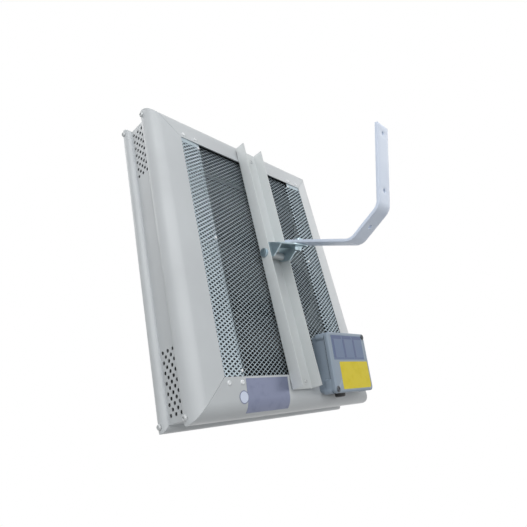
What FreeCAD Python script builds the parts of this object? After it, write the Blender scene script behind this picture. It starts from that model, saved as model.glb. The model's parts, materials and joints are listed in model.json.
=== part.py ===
import FreeCAD, Part
import math
import os
import re
import Sketcher

# Infrared heater on a bent wall strap. Millimetres and degrees.
# Row frame: +Z up, +Y to the wall, origin on the wall face midway between the two wall holes.
# Heater frame: x across, y rearwards, z up the panel, origin in the middle of the rear opening.

SIZES = {
    # Wall strap, a bent flat bar
    "bar_width": 35,
    "bar_thick": 5,
    "wall_hole_spacing": 97,
    "wall_hole": 7,
    "leg_end": 14.5,
    "leg_below": 29.2,
    "diagonal_run": 71.4,
    "diagonal_angle": 46.3,
    "arm_rise": 7.6,
    "arm_run": 139,
    "bend_radius": 12,
    "brace_hole": 7,
    "brace_hole_down": 37,
    # Swivel bolt through the arm and the knuckle
    "swivel_inset": 17.5,
    "swivel_shank": 8,
    "swivel_head": 13,
    "swivel_head_high": 5.3,
    "swivel_nut_high": 6.5,
    "washer_width": 18,
    "washer_thick": 1.6,
    "joint_gap": 0.3,
    "running_gap": 0.05,
    # Knuckle, a folded saddle between the channel's flanges
    "knuckle_sheet": 3,
    "knuckle_round": 18,
    "pivot_reach": 53.5,
    "pivot_drop": 20.8,
    "cheek_radius": 9,
    "cheek_back": 36,
    "cheek_heel": 20,
    "cheek_heel_drop": 5,
    "cheek_gap": 0.4,
    "sleeve_width": 14,
    # Pivot bolt across the channel
    "pivot_shank": 8,
    "pivot_head": 16.5,
    "pivot_head_high": 5,
    "pivot_nut": 13,
    "pivot_nut_high": 6.5,
    "bolt_end": 1,
    "pivot_back": 12,
    "pivot_up": 4,
    "tilt": 18.5,
    # Channel down the back of the heater
    "channel_width": 54,
    "channel_high": 24,
    "channel_sheet": 2,
    "channel_over_top": 31.5,
    "channel_over_bottom": 25.5,
    "channel_screw_side": 12.5,
    "channel_screw_out": 12.5,
    # Rails round the heater: one section, mitred at the corners
    "opening_width": 343,
    "opening_height": 437,
    "rail_sheet": 1.2,
    "rail_depth": 102,
    "rail_reach": 56.5,
    "flange_slope": 7,
    "bulge_radius": 26,
    "tuck_radius": 13,
    "waist_inset": 10,
    "nose_reach": 55.5,
    "nose_radius": 11,
    "lip_inset": 20,
    "lip_height": 16,
    # Vent holes in the side rails
    "vent_hole": 6,
    "vent_pitch": 15.3,
    "vent_column": 6.3,
    "vent_first": 34.5,
    # Screws
    "screw_hole_gap": 0.3,
    "corner_screw_out": 45.5,
    "corner_screw_head": 9,
    "corner_screw_high": 4,
    "corner_screw_shank": 4,
    "corner_screw_long": 10,
    "pan_head": 7,
    "pan_high": 2.4,
    "pan_shank": 3.5,
    "pan_long": 6,
    "flange_screw_corner": 7.5,
    "flange_screw_gap": 27,
    "flange_screw_out": 8.5,
    "gusset_thick": 2,
    "gusset_deep": 13,
    "gusset_spare": 8,
    # Rear mesh tray
    "mesh_sheet": 1,
    "mesh_strip": 45,
    "mesh_depth": 8,
    "mesh_end_gap": 2,
    "mesh_rim": 14,
    "mesh_border": 3,
    "mesh_open_share": 0.8,
    "rivet_head": 5,
    "rivet_high": 1.6,
    "rivet_out": 5,
    "rivet_end": 7,
    "rivet_middle": 20,
    # Reflectors, lamps and the plates that carry them
    "plate_sheet": 1.2,
    "plate_front_gap": 6,
    "plate_deep": 48,
    "plate_end_gap": 2.5,
    "reflector_sheet": 0.8,
    "reflector_front": 8,
    "reflector_deep": 42,
    "reflector_gap": 6,
    "reflector_margin": 4.5,
    "lamp_front": 26,
    "tube_width": 11,
    "tube_wall": 1,
    "filament_width": 2.6,
    "cap_width": 15,
    "cap_long": 18,
    "holder_thick": 12,
    "holder_wide": 26,
    "holder_high": 30,
    "neck_width": 10,
    "neck_long": 10,
    "neck_gap": 0.7,
    # Wiring looms
    "loom_width": 8,
    "loom_bend": 20,
    "loom_over": 14,
    "loom_drop": 24,
    "loom_seat_gap": 0.3,
    "loom_shift": 20,
    "loom_spread": 14,
    "loom_in_box": 8,
    "grommet_width": 13,
    "grommet_lip": 1.5,
    "grommet_gap": 0.6,
    # Front guard
    "guard_frame_wire": 5,
    "guard_bar": 3,
    "guard_cross": 4,
    "guard_corner": 14,
    "guard_weld": 0.3,
    # Terminal box on the bottom rail
    "box_corner_in": 58,
    "box_low": 38.5,
    "lid_width": 125,
    "lid_high": 107,
    "lid_thick": 9,
    "lid_corner": 7,
    "lid_edge": 2,
    "box_wall": 2.5,
    "box_inset": 4,
    "box_corner": 5,
    "box_deep": 27,
    "boss_width": 13,
    "boss_long": 18,
    "gasket_thick": 1.5,
    "lid_screw_head": 7,
    "lid_screw_shank": 4,
    "lid_screw_long": 18,
    "lid_screw_sunk": 3,
    "block_long": 56,
    "block_wide": 20,
    "block_high": 15,
    "block_up": 24,
    "gland_side": 18,
    "gland_up": 13.5,
    "gland_bore": 9,
    "gland_neck": 15,
    "gland_collar": 22,
    "gland_collar_high": 4,
    "gland_dome": 19,
    "gland_dome_high": 6,
    "gland_round": 2,
    "gland_nut": 19,
    "gland_nut_high": 3.5,
    "gland_fit": 0.4,
}
MESH_COLUMNS = 5
MESH_STRIP_COLUMNS = 2
MESH_ROWS = 8
VENT_ROWS = 7
VENT_COLUMNS = 5
GUARD_BARS = 17
BLOCK_WAYS = 3
VENT_SIDES = 5
HOLE_SIDES = 8
TURNED_SIDES = 12
WIRE_SIDES = 6
CUT_MARGIN = 2
LAMPS = {"top": 1, "middle": 0, "bottom": -1}

# Places that several pieces share
FLANGE_OUTER = "(opening_width / 2 - flange_screw_corner)"
FLANGE_INNER = f"({FLANGE_OUTER} - flange_screw_gap)"
MESH_FOLD = "(opening_width / 2 - mesh_strip)"
BOX_SIDE = "(opening_width / 2 - box_corner_in)"
PLATE_X = "(opening_width / 2 + lip_inset)"
LAMP_Y = "(lamp_front - rail_depth)"
LAMP_PITCH = f"((opening_height + 2 * lip_inset - 2 * reflector_margin) / {len(LAMPS)})"

X_AXIS = FreeCAD.Vector(1, 0, 0)
Y_AXIS = FreeCAD.Vector(0, 1, 0)
Z_AXIS = FreeCAD.Vector(0, 0, 1)

doc = FreeCAD.newDocument("Heater")
sheet = doc.addObject("Spreadsheet::Sheet", "Sizes")
for row, (alias, number) in enumerate(SIZES.items(), start=1):
    sheet.set(f"A{row}", alias)
    sheet.set(f"B{row}", str(number))
    sheet.setAlias(f"B{row}", alias)
doc.recompute()
pieces = []


# Reading the sheet

def bound(formula):
    """Put the sheet's name before each size in a formula."""
    return re.sub(r"[a-z_]+", lambda word: f"Sizes.{word[0]}" if word[0] in SIZES else word[0], formula)


def worth(formula):
    """Give the present value of a formula."""
    return float(sheet.evalExpression(bound(formula)))


# Sketches and features

def new_body(label):
    """Start one sub-part."""
    body = doc.addObject("PartDesign::Body", label)
    body.Label = label
    pieces.append(body)
    return body


def origin_item(body, role):
    """Give one of the body's own planes or axes."""
    return next(item for item in body.Origin.OriginFeatures if item.Role == role)


def sketch_on(body, role, offset="0"):
    """Attach a sketch to one of the body's planes, moved along the plane's normal."""
    plane = origin_item(body, role)
    sketch = body.newObject("Sketcher::SketchObject", "Sketch")
    sketch.AttachmentSupport = [(plane, "")]
    sketch.MapMode = "FlatFace"
    sketch.setExpression("AttachmentOffset.Base.z", bound(offset))
    return sketch


def bind(sketch, kind, formula, *places):
    """Add one dimension to a sketch and tie it to the sheet."""
    index = sketch.addConstraint(Sketcher.Constraint(kind, *places, worth(formula)))
    sketch.setExpression(f"Constraints[{index}]", bound(formula))


def arc_between(start, end, radius, turn):
    """Give the short arc from start to end, turning left (1) or right (-1)."""
    chord = end - start
    rise = math.sqrt(max(radius ** 2 - (chord.Length / 2) ** 2, 0))
    left = FreeCAD.Vector(-chord.y, chord.x, 0).normalize()
    centre = (start + end) * 0.5 + left * rise * turn
    first, last = (start, end) if turn > 0 else (end, start)
    angles = [math.atan2(point.y - centre.y, point.x - centre.x) for point in (first, last)]
    return Part.ArcOfCircle(Part.Circle(centre, Z_AXIS, radius), *angles)


def add_outline(sketch, corners, arcs=None):
    """Draw a closed outline. arcs gives the radius and turn of the edges that leave some corners."""
    arcs = arcs or {}
    points = [FreeCAD.Vector(worth(across), worth(up), 0) for across, up in corners]
    starts = []
    for index, point in enumerate(points):
        following = points[(index + 1) % len(points)]
        if index in arcs:
            radius, turn = arcs[index]
            edge = sketch.addGeometry(arc_between(point, following, worth(radius), turn), False)
            bind(sketch, "Radius", radius, edge)
            starts.append((edge, 1, 2) if turn > 0 else (edge, 2, 1))
        else:
            edge = sketch.addGeometry(Part.LineSegment(point, following), False)
            starts.append((edge, 1, 2))
    for index in range(len(points)):
        edge, _, end = starts[index]
        following, start, _ = starts[(index + 1) % len(points)]
        sketch.addConstraint(Sketcher.Constraint("Coincident", edge, end, following, start))
    for (edge, start, _), (across, up) in zip(starts, corners):
        bind(sketch, "DistanceX", across, -1, 1, edge, start)
        bind(sketch, "DistanceY", up, -1, 1, edge, start)


def add_rounds(sketch, spots, width):
    """Draw circles of one width at several spots."""
    for across, up in spots:
        centre = FreeCAD.Vector(worth(across), worth(up), 0)
        circle = sketch.addGeometry(Part.Circle(centre, Z_AXIS, worth(width) / 2), False)
        bind(sketch, "Diameter", width, circle)
        bind(sketch, "DistanceX", across, -1, 1, circle, 3)
        bind(sketch, "DistanceY", up, -1, 1, circle, 3)


def add_flats(sketch, spots, width, sides=HOLE_SIDES):
    """Draw many-sided rounds at several spots, where a true circle would only add faces."""
    turns = [2 * math.pi * (side + 0.5) / sides for side in range(sides)]
    for across, up in spots:
        add_outline(sketch, [(f"{across} + {math.cos(turn):.6f} * ({width}) / 2",
                              f"{up} + {math.sin(turn):.6f} * ({width}) / 2") for turn in turns])


def rectangle(low_x, low_y, high_x, high_y):
    """Give the corners of an upright rectangle."""
    return [(low_x, low_y), (high_x, low_y), (high_x, high_y), (low_x, high_y)]


def rounded(width, height, radius, middle_y="0"):
    """Give the corners and arcs of a rectangle with round corners about (0, middle_y)."""
    side = f"({width}) / 2"
    end = f"({height}) / 2"
    corners = [
        (f"-{side} + {radius}", f"{middle_y} - {end}"),
        (f"{side} - {radius}", f"{middle_y} - {end}"),
        (side, f"{middle_y} - {end} + {radius}"),
        (side, f"{middle_y} + {end} - {radius}"),
        (f"{side} - {radius}", f"{middle_y} + {end}"),
        (f"-{side} + {radius}", f"{middle_y} + {end}"),
        (f"-{side}", f"{middle_y} + {end} - {radius}"),
        (f"-{side}", f"{middle_y} - {end} + {radius}"),
    ]
    return corners, {corner: (radius, 1) for corner in (1, 3, 5, 7)}


def clipped(width, height, clip, middle_y):
    """Give the corners of a rectangle about (0, middle_y) whose own corners are cut off."""
    return rounded(width, height, clip, middle_y)[0]


def pad(body, sketch, length, symmetric=False):
    """Thicken a sketch along its normal."""
    feature = body.newObject("PartDesign::Pad", "Pad")
    feature.Profile = sketch
    feature.setExpression("Length", bound(length))
    feature.SideType = "Symmetric" if symmetric else "One side"
    doc.recompute()
    return feature


def cut(body, sketch, depth=None, along_normal=False):
    """Cut a sketch out of the body, right through or to a depth, and make sure that it cut."""
    before = body.Shape.Volume
    feature = body.newObject("PartDesign::Pocket", "Pocket")
    feature.Profile = sketch
    if depth is None:
        feature.Type = "ThroughAll"
        feature.SideType = "Symmetric"
    else:
        feature.setExpression("Length", bound(depth))
        feature.Reversed = along_normal
    doc.recompute()
    if not body.Shape.Volume < before:
        raise RuntimeError(f"{body.Label}: a cut removed nothing")
    return feature


def named_edges(body, wanted):
    """Give the body's solid with the names of the edges that a test picks."""
    return body.Tip, [f"Edge{index}" for index, edge in enumerate(body.Shape.Edges, start=1) if wanted(edge)]


def round_edges(body, radius, wanted):
    """Round the edges of a body that a test picks."""
    picked = named_edges(body, wanted)
    fillet = body.newObject("PartDesign::Fillet", "Rounded")
    fillet.Base = picked
    fillet.setExpression("Radius", bound(radius))
    doc.recompute()


def bevel_edges(body, size, wanted):
    """Bevel the edges of a body that a test picks."""
    picked = named_edges(body, wanted)
    chamfer = body.newObject("PartDesign::Chamfer", "Bevelled")
    chamfer.Base = picked
    chamfer.setExpression("Size", bound(size))
    doc.recompute()


def group(label, solids, frame):
    """Keep separate solids under one name, placed in a frame."""
    feature = doc.addObject("Part::Feature", label)
    feature.Label = label
    shape = solids[0] if len(solids) == 1 else Part.makeCompound(solids)
    feature.Shape = shape
    feature.Placement = frame * shape.Placement
    pieces.append(feature)
    return feature


def turned(profile, place, hollow=False, sides=TURNED_SIDES):
    """Turn an outline of (radius, height) points about z in flats and move the solid to its place.

    A hollow outline is closed. Any other is closed by a flat face at each end.
    """
    turns = [2 * math.pi * side / sides for side in range(sides)]
    rings = [[FreeCAD.Vector(radius * math.cos(turn), radius * math.sin(turn), height) for turn in turns]
             for radius, height in profile]
    pairs = list(zip(rings, rings[1:] + rings[:1])) if hollow else list(zip(rings, rings[1:]))
    loops = [[low[side - 1], low[side], high[side], high[side - 1]]
             for low, high in pairs for side in range(sides)]
    loops += [] if hollow else [rings[0], rings[-1]]
    shell = Part.makeShell([Part.Face(Part.makePolygon(loop + loop[:1])) for loop in loops])
    solid = Part.makeSolid(shell)
    if solid.Volume < 0:
        solid.reverse()
    solid.Placement = place
    return solid


def hexagon(across_flats, height):
    """Give a six-sided prism that stands on z = 0."""
    radius = across_flats / math.sqrt(3)
    corners = [FreeCAD.Vector(radius * math.cos(turn), radius * math.sin(turn), 0)
               for turn in (math.radians(60 * side) for side in range(7))]
    return Part.Face(Part.makePolygon(corners)).extrude(Z_AXIS * height)


def facing(direction):
    """Turn z to a direction."""
    return FreeCAD.Rotation(Z_AXIS, direction)


# Frames

def strap_line():
    """Give the corners of the strap's wall side as formulas: top, upper bend, lower bend, arm end."""
    top = ("0", "wall_hole_spacing / 2 + leg_end")
    upper = ("0", "-wall_hole_spacing / 2 - leg_below")
    lower = ("-diagonal_run * sin(diagonal_angle)", f"{upper[1]} - diagonal_run * cos(diagonal_angle)")
    end = (f"{lower[0]} - arm_run * cos(arm_rise)", f"{lower[1]} + arm_run * sin(arm_rise)")
    return top, upper, lower, end


def arm_frame():
    """Frame on the arm's lower face at the swivel bolt: y along the arm to the wall, z up."""
    end_y, end_z = strap_line()[3]
    spot = FreeCAD.Vector(0, worth(f"{end_y} + swivel_inset * cos(arm_rise)"),
                          worth(f"{end_z} - swivel_inset * sin(arm_rise)"))
    return FreeCAD.Placement(spot, FreeCAD.Rotation(X_AXIS, -worth("arm_rise")))


def heater_frame():
    """Frame of the heater, hung on the pivot bolt and tilted to face down."""
    pivot = arm_frame().multVec(FreeCAD.Vector(0, -worth("pivot_reach"), -worth("pivot_drop")))
    hung = FreeCAD.Placement(pivot, FreeCAD.Rotation(X_AXIS, worth("tilt")))
    return hung * FreeCAD.Placement(FreeCAD.Vector(0, -worth("pivot_back"), -worth("pivot_up")),
                                    FreeCAD.Rotation())


def in_heater(x=0, y=0, z=0, rotation=None):
    """Place something in the heater frame."""
    return heater_frame() * FreeCAD.Placement(FreeCAD.Vector(x, y, z), rotation or FreeCAD.Rotation())


def rail_frame(turn, half_opening):
    """Frame of a rail: x outwards from the opening's edge, y rearwards, z along the rail."""
    rotation = FreeCAD.Rotation(Y_AXIS, turn)
    return in_heater() * FreeCAD.Placement(rotation.multVec(X_AXIS * half_opening), rotation)


def flange_spot(x, out, up_side):
    """Place on the top or bottom rail's sloping flange, z out of the metal."""
    slope = worth("flange_slope")
    rotation = FreeCAD.Rotation(X_AXIS, -90 + up_side * slope)
    drop = out * math.tan(math.radians(slope))
    place = FreeCAD.Vector(x, -drop, up_side * (worth("opening_height") / 2 + out))
    return FreeCAD.Placement(place, rotation)


def box_frame():
    """Frame of the terminal box on the bottom rail's flange: x to -X, y up the panel, z rearwards."""
    slope = math.radians(worth("flange_slope"))
    up = FreeCAD.Vector(0, math.sin(slope), math.cos(slope))
    out = FreeCAD.Vector(0, math.cos(slope), -math.sin(slope))
    spot = FreeCAD.Vector(-worth(BOX_SIDE), 0, -worth("opening_height / 2"))
    return in_heater() * FreeCAD.Placement(spot, FreeCAD.Rotation(-X_AXIS, up, out, "ZXY"))


# Wall strap and swivel

def wall_strap():
    """Flat bar bent twice: wall leg, diagonal leg and arm."""
    body = new_body("wall_strap")
    top, upper, lower, end = strap_line()
    spread = "(1 + sin(diagonal_angle - arm_rise))"
    inner = [
        (f"{end[0]} + bar_thick * sin(arm_rise)", f"{end[1]} + bar_thick * cos(arm_rise)"),
        (f"{lower[0]} + bar_thick * (sin(arm_rise) - cos(diagonal_angle)) / {spread}",
         f"{lower[1]} + bar_thick * (cos(arm_rise) + sin(diagonal_angle)) / {spread}"),
        (f"{upper[0]} - bar_thick", f"{upper[1]} + bar_thick * tan(diagonal_angle / 2)"),
        ("-bar_thick", top[1]),
    ]
    sketch = sketch_on(body, "YZ_Plane")
    add_outline(sketch, [top, upper, lower, end] + inner)
    pad(body, sketch, "bar_width", symmetric=True)
    near = worth("bar_thick") / 10
    bends = [((upper, lower), "bend_radius + bar_thick"), ((inner[1], inner[2]), "bend_radius")]
    for corners, radius in bends:
        spots = [FreeCAD.Vector(0, worth(y), worth(z)) for y, z in corners]
        round_edges(body, radius, lambda edge: any(edge.CenterOfMass.isEqual(spot, near) for spot in spots))
    wall = sketch_on(body, "XZ_Plane")
    add_rounds(wall, [("0", "wall_hole_spacing / 2"), ("0", "-wall_hole_spacing / 2")], "wall_hole")
    cut(body, wall, "2 * bar_thick", along_normal=True)
    brace = (f"{upper[0]} - brace_hole_down * sin(diagonal_angle)",
             f"{upper[1]} - brace_hole_down * cos(diagonal_angle)")
    drill(body, brace, "90 - diagonal_angle", "brace_hole")
    swivel = (f"{end[0]} + swivel_inset * cos(arm_rise)", f"{end[1]} - swivel_inset * sin(arm_rise)")
    drill(body, swivel, "-arm_rise", "swivel_shank + 2 * running_gap")


def drill(body, spot, lean, width):
    """Drill the bar square to one of its legs, at a (y, z) spot on the leg's wall side."""
    sketch = sketch_on(body, "XY_Plane")
    sketch.AttachmentOffset = FreeCAD.Placement(FreeCAD.Vector(), FreeCAD.Rotation(X_AXIS, worth(lean)))
    sketch.setExpression("AttachmentOffset.Base.y", bound(spot[0]))
    sketch.setExpression("AttachmentOffset.Base.z", bound(spot[1]))
    sketch.setExpression("AttachmentOffset.Rotation.Angle", bound(lean))
    add_rounds(sketch, [("0", "0")], width)
    before = body.Shape.Volume
    feature = body.newObject("PartDesign::Pocket", "Drilled")
    feature.Profile = sketch
    feature.setExpression("Length", bound("4 * bar_thick"))
    feature.SideType = "Symmetric"
    doc.recompute()
    if not body.Shape.Volume < before:
        raise RuntimeError(f"{body.Label}: a drilled hole removed nothing")


def swivel_hardware():
    """Bolt down through the arm and the knuckle, with its washer and nut below."""
    frame = arm_frame()
    shank = worth("swivel_shank") / 2
    plate_low = -worth("2 * joint_gap + knuckle_sheet")
    washer_low = plate_low - worth("washer_thick")
    nut_low = washer_low - worth("swivel_nut_high")
    head = hexagon(worth("swivel_head"), worth("swivel_head_high"))
    head.translate(Z_AXIS * worth("bar_thick"))
    stem = Part.makeCylinder(shank, worth("bar_thick") - nut_low, Z_AXIS * nut_low)
    group("swivel_bolt", [head.fuse(stem).removeSplitter()], frame)
    inner = shank + worth("screw_hole_gap")
    outer = worth("washer_width") / 2
    ring = [(inner, washer_low), (outer, washer_low), (outer, plate_low), (inner, plate_low)]
    group("swivel_washer", [turned(ring, FreeCAD.Placement(), hollow=True)], frame)
    nut = hexagon(worth("swivel_head"), worth("swivel_nut_high"))
    nut.translate(Z_AXIS * nut_low)
    thread = Part.makeCylinder(shank, worth("swivel_nut_high"), Z_AXIS * nut_low)
    group("swivel_nut", [nut.cut(thread)], frame)


def swivel_knuckle():
    """Folded saddle: a top plate under the arm and two cheeks that reach down to the pivot bolt."""
    body = new_body("swivel_knuckle")
    width = "(channel_width - 2 * channel_sheet - 2 * cheek_gap)"
    front = "(-pivot_reach - cheek_radius)"
    side = sketch_on(body, "YZ_Plane")
    add_outline(side, [
        (front, "-joint_gap"),
        (front, "-pivot_drop"),
        ("-pivot_reach", "-pivot_drop - cheek_radius"),
        ("-pivot_reach + cheek_heel", "-pivot_drop - cheek_heel_drop"),
        ("-pivot_reach + cheek_back", "-joint_gap"),
    ], {1: ("cheek_radius", 1)})
    pad(body, side, width, symmetric=True)
    inside = sketch_on(body, "XZ_Plane")
    add_outline(inside, rectangle(f"-{width} / 2 + knuckle_sheet", "-pivot_drop - 2 * cheek_radius",
                                  f"{width} / 2 - knuckle_sheet", "-joint_gap - knuckle_sheet"))
    cut(body, inside)
    plate = sketch_on(body, "XY_Plane", "-joint_gap - knuckle_sheet")
    add_outline(plate, [
        (f"-{width} / 2", front),
        (f"{width} / 2", front),
        (f"{width} / 2", "-pivot_reach + cheek_back"),
        ("knuckle_round", "0"),
        ("0", "knuckle_round"),
        ("-knuckle_round", "0"),
        (f"-{width} / 2", "-pivot_reach + cheek_back"),
    ], {3: ("knuckle_round", 1), 4: ("knuckle_round", 1)})
    pad(body, plate, "knuckle_sheet")
    bolt_hole = sketch_on(body, "XY_Plane")
    add_rounds(bolt_hole, [("0", "0")], "swivel_shank + 2 * running_gap")
    cut(body, bolt_hole)
    pivot_hole = sketch_on(body, "YZ_Plane")
    add_rounds(pivot_hole, [("-pivot_reach", "-pivot_drop")], "pivot_shank + 2 * running_gap")
    cut(body, pivot_hole)
    body.Placement = arm_frame()
    sleeve = new_body("pivot_sleeve")
    ring = sketch_on(sleeve, "YZ_Plane")
    add_flats(ring, [("-pivot_reach", "-pivot_drop")], "sleeve_width", TURNED_SIDES)
    add_rounds(ring, [("-pivot_reach", "-pivot_drop")], "pivot_shank + 2 * running_gap")
    pad(sleeve, ring, f"{width} - 2 * knuckle_sheet", symmetric=True)
    sleeve.Placement = arm_frame()


# Channel and pivot

def mount_channel():
    """Upright U-channel that spans the rear opening and takes the pivot bolt."""
    body = new_body("mount_channel")
    side = "channel_width / 2"
    section = sketch_on(body, "XY_Plane", "-opening_height / 2 - channel_over_bottom")
    add_outline(section, [
        (f"-{side}", "0"), (side, "0"), (side, "channel_high"),
        (f"{side} - channel_sheet", "channel_high"), (f"{side} - channel_sheet", "channel_sheet"),
        (f"-{side} + channel_sheet", "channel_sheet"), (f"-{side} + channel_sheet", "channel_high"),
        (f"-{side}", "channel_high"),
    ])
    pad(body, section, "opening_height + channel_over_bottom + channel_over_top")
    pivot = sketch_on(body, "YZ_Plane")
    add_rounds(pivot, [("pivot_back", "pivot_up")], "pivot_shank + 2 * screw_hole_gap")
    cut(body, pivot)
    web = sketch_on(body, "XZ_Plane")
    add_flats(web, channel_screw_spots(), "pan_shank + 2 * screw_hole_gap")
    cut(body, web)
    body.Placement = in_heater()


def channel_screw_spots():
    """Give the four web screws as formulas across and up the panel."""
    up = "(opening_height / 2 + channel_screw_out)"
    return [(f"{sign}channel_screw_side", f"{end}{up}") for sign in ("", "-") for end in ("", "-")]


def pan_screw(place):
    """Pan-head screw whose head stands on the place."""
    head = worth("pan_head") / 2
    shank = worth("pan_shank") / 2
    high = worth("pan_high")
    profile = [(shank, -worth("pan_long")), (shank, 0), (head, 0), (head, high * 0.45), (head * 0.72, high)]
    return turned(profile, place, sides=WIRE_SIDES)


def channel_fasteners():
    """Screws through the channel's web, and the pivot bolt with its nut."""
    rear = facing(Y_AXIS)
    spots = [FreeCAD.Vector(worth(x), worth("channel_sheet"), worth(z)) for x, z in channel_screw_spots()]
    group("channel_screws", [pan_screw(FreeCAD.Placement(spot, rear)) for spot in spots], in_heater())
    side = worth("channel_width") / 2
    shank = worth("pivot_shank") / 2
    head = worth("pivot_head") / 2
    high = worth("pivot_head_high")
    tail = 2 * side + worth("pivot_nut_high + bolt_end")
    stem = Part.makeCylinder(shank, tail, Z_AXIS * -tail)
    profile = [(head, 0), (head, high * 0.35), (head * 0.85, high * 0.8), (head * 0.55, high)]
    bolt = turned(profile, FreeCAD.Placement()).fuse(stem).removeSplitter()
    near = FreeCAD.Vector(side, worth("pivot_back"), worth("pivot_up"))
    bolt.Placement = FreeCAD.Placement(near, facing(X_AXIS))
    group("pivot_bolt", [bolt], in_heater())
    nut = hexagon(worth("pivot_nut"), worth("pivot_nut_high"))
    nut = nut.cut(Part.makeCylinder(shank, worth("pivot_nut_high")))
    far = FreeCAD.Vector(-side, worth("pivot_back"), worth("pivot_up"))
    nut.Placement = FreeCAD.Placement(far, facing(-X_AXIS))
    group("pivot_nut", [nut], in_heater())


# Rails

BULGE_X = "(rail_reach - bulge_radius)"
BULGE_Y = (f"(-({BULGE_X} + bulge_radius * sin(flange_slope)) * tan(flange_slope)"
           " - bulge_radius * cos(flange_slope))")
TUCK_X = "(rail_reach - tuck_radius)"
WAIST_X = "(rail_reach - waist_inset)"
NOSE_X = "(nose_reach - nose_radius)"
NOSE_Y = "(nose_radius - rail_depth)"
TUCK_END = f"({BULGE_Y} - sqrt(tuck_radius ^ 2 - ({WAIST_X} - {TUCK_X}) ^ 2))"
NOSE_START = f"({NOSE_Y} + sqrt(nose_radius ^ 2 - ({WAIST_X} - {NOSE_X}) ^ 2))"


def rail_line(inset):
    """Corners of the rail's section from the opening round to the front lip, moved inwards by inset."""
    waist = f"({WAIST_X} - {inset})"
    return [
        ("0", f"-{inset} / cos(flange_slope)"),
        (f"{BULGE_X} + (bulge_radius - {inset}) * sin(flange_slope)",
         f"{BULGE_Y} + (bulge_radius - {inset}) * cos(flange_slope)"),
        (f"rail_reach - {inset}", BULGE_Y),
        (waist, f"{BULGE_Y} - sqrt((tuck_radius - {inset}) ^ 2 - ({waist} - {TUCK_X}) ^ 2)"),
        (waist, f"{NOSE_Y} + sqrt((nose_radius - {inset}) ^ 2 - ({waist} - {NOSE_X}) ^ 2)"),
        (f"nose_reach - {inset}", NOSE_Y),
        (NOSE_X, f"{inset} - rail_depth"),
        (f"lip_inset + {inset}", f"{inset} - rail_depth"),
        (f"lip_inset + {inset}", "lip_height - rail_depth"),
    ]


def rail(label, long_side, short_side, turn):
    """One rail: a formed sheet section, mitred at both ends."""
    body = new_body(label)
    section = sketch_on(body, "XY_Plane")
    outside = rail_line("0")
    inside = rail_line("rail_sheet")
    arcs = {1: ("bulge_radius", -1), 2: ("tuck_radius", -1), 4: ("nose_radius", -1), 5: ("nose_radius", -1),
            11: ("nose_radius - rail_sheet", 1), 12: ("nose_radius - rail_sheet", 1),
            14: ("tuck_radius - rail_sheet", 1), 15: ("bulge_radius - rail_sheet", 1)}
    add_outline(section, outside + inside[::-1], arcs)
    pad(body, section, f"{long_side} + 2 * rail_reach", symmetric=True)
    mitre = sketch_on(body, "XZ_Plane")
    past = f"(rail_reach + {CUT_MARGIN})"
    for end, order in (("", 1), ("-", -1)):
        corner = [(f"-{CUT_MARGIN}", f"{end}({long_side} / 2 - {CUT_MARGIN})"),
                  (past, f"{end}({long_side} / 2 + {past})"),
                  (f"-{CUT_MARGIN}", f"{end}({long_side} / 2 + {past})")]
        add_outline(mitre, corner[::order])
    cut(body, mitre)
    body.Placement = rail_frame(turn, worth(short_side) / 2)
    return body


def side_rail(label, turn):
    """Upright rail with a cluster of vent holes near each end and holes for the corner screws."""
    body = rail(label, "opening_height", "opening_width", turn)
    behind = f"{WAIST_X} - rail_sheet - {CUT_MARGIN}"
    middle = f"({TUCK_END} + {NOSE_START}) / 2"
    for parity in range(2):
        rows = VENT_ROWS - parity
        columns = range(parity, VENT_COLUMNS, 2)
        lowest = [f"-opening_height / 2 - vent_first + {parity / 2} * vent_pitch",
                  f"opening_height / 2 + vent_first - {VENT_ROWS - 1 - parity / 2} * vent_pitch"]
        vents = sketch_on(body, "YZ_Plane", behind)
        add_flats(vents, [(f"{middle} + {column - VENT_COLUMNS // 2} * vent_column", low)
                          for column in columns for low in lowest], "vent_hole", VENT_SIDES)
        lowest_row = cut(body, vents, "2 * rail_sheet + waist_inset", along_normal=True)
        repeat_up(body, lowest_row, rows, "vent_pitch")
    screws = sketch_on(body, "YZ_Plane", behind)
    up = "opening_height / 2 + corner_screw_out"
    add_flats(screws, [(BULGE_Y, up), (NOSE_Y, up)], "corner_screw_shank + 2 * screw_hole_gap")
    mirror_cut(body, cut(body, screws, "rail_reach", along_normal=True))


def repeat_up(body, feature, count, pitch):
    """Repeat a cut up the rail."""
    before = body.Shape.Volume
    pattern = body.newObject("PartDesign::LinearPattern", "Pattern")
    pattern.Originals = [feature]
    pattern.Direction = (origin_item(body, "Z_Axis"), [""])
    pattern.setExpression("Length", bound(f"{count - 1} * {pitch}"))
    pattern.Occurrences = count
    body.Tip = pattern
    doc.recompute()
    if not body.Shape.Volume < before:
        raise RuntimeError(f"{body.Label}: a repeated cut removed nothing")


def mirror_cut(body, feature):
    """Repeat a cut at the rail's other end."""
    before = body.Shape.Volume
    mirrored = body.newObject("PartDesign::Mirrored", "Mirrored")
    mirrored.Originals = [feature]
    mirrored.MirrorPlane = (origin_item(body, "XY_Plane"), [""])
    body.Tip = mirrored
    doc.recompute()
    if not body.Shape.Volume < before:
        raise RuntimeError(f"{body.Label}: a mirrored cut removed nothing")


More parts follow.
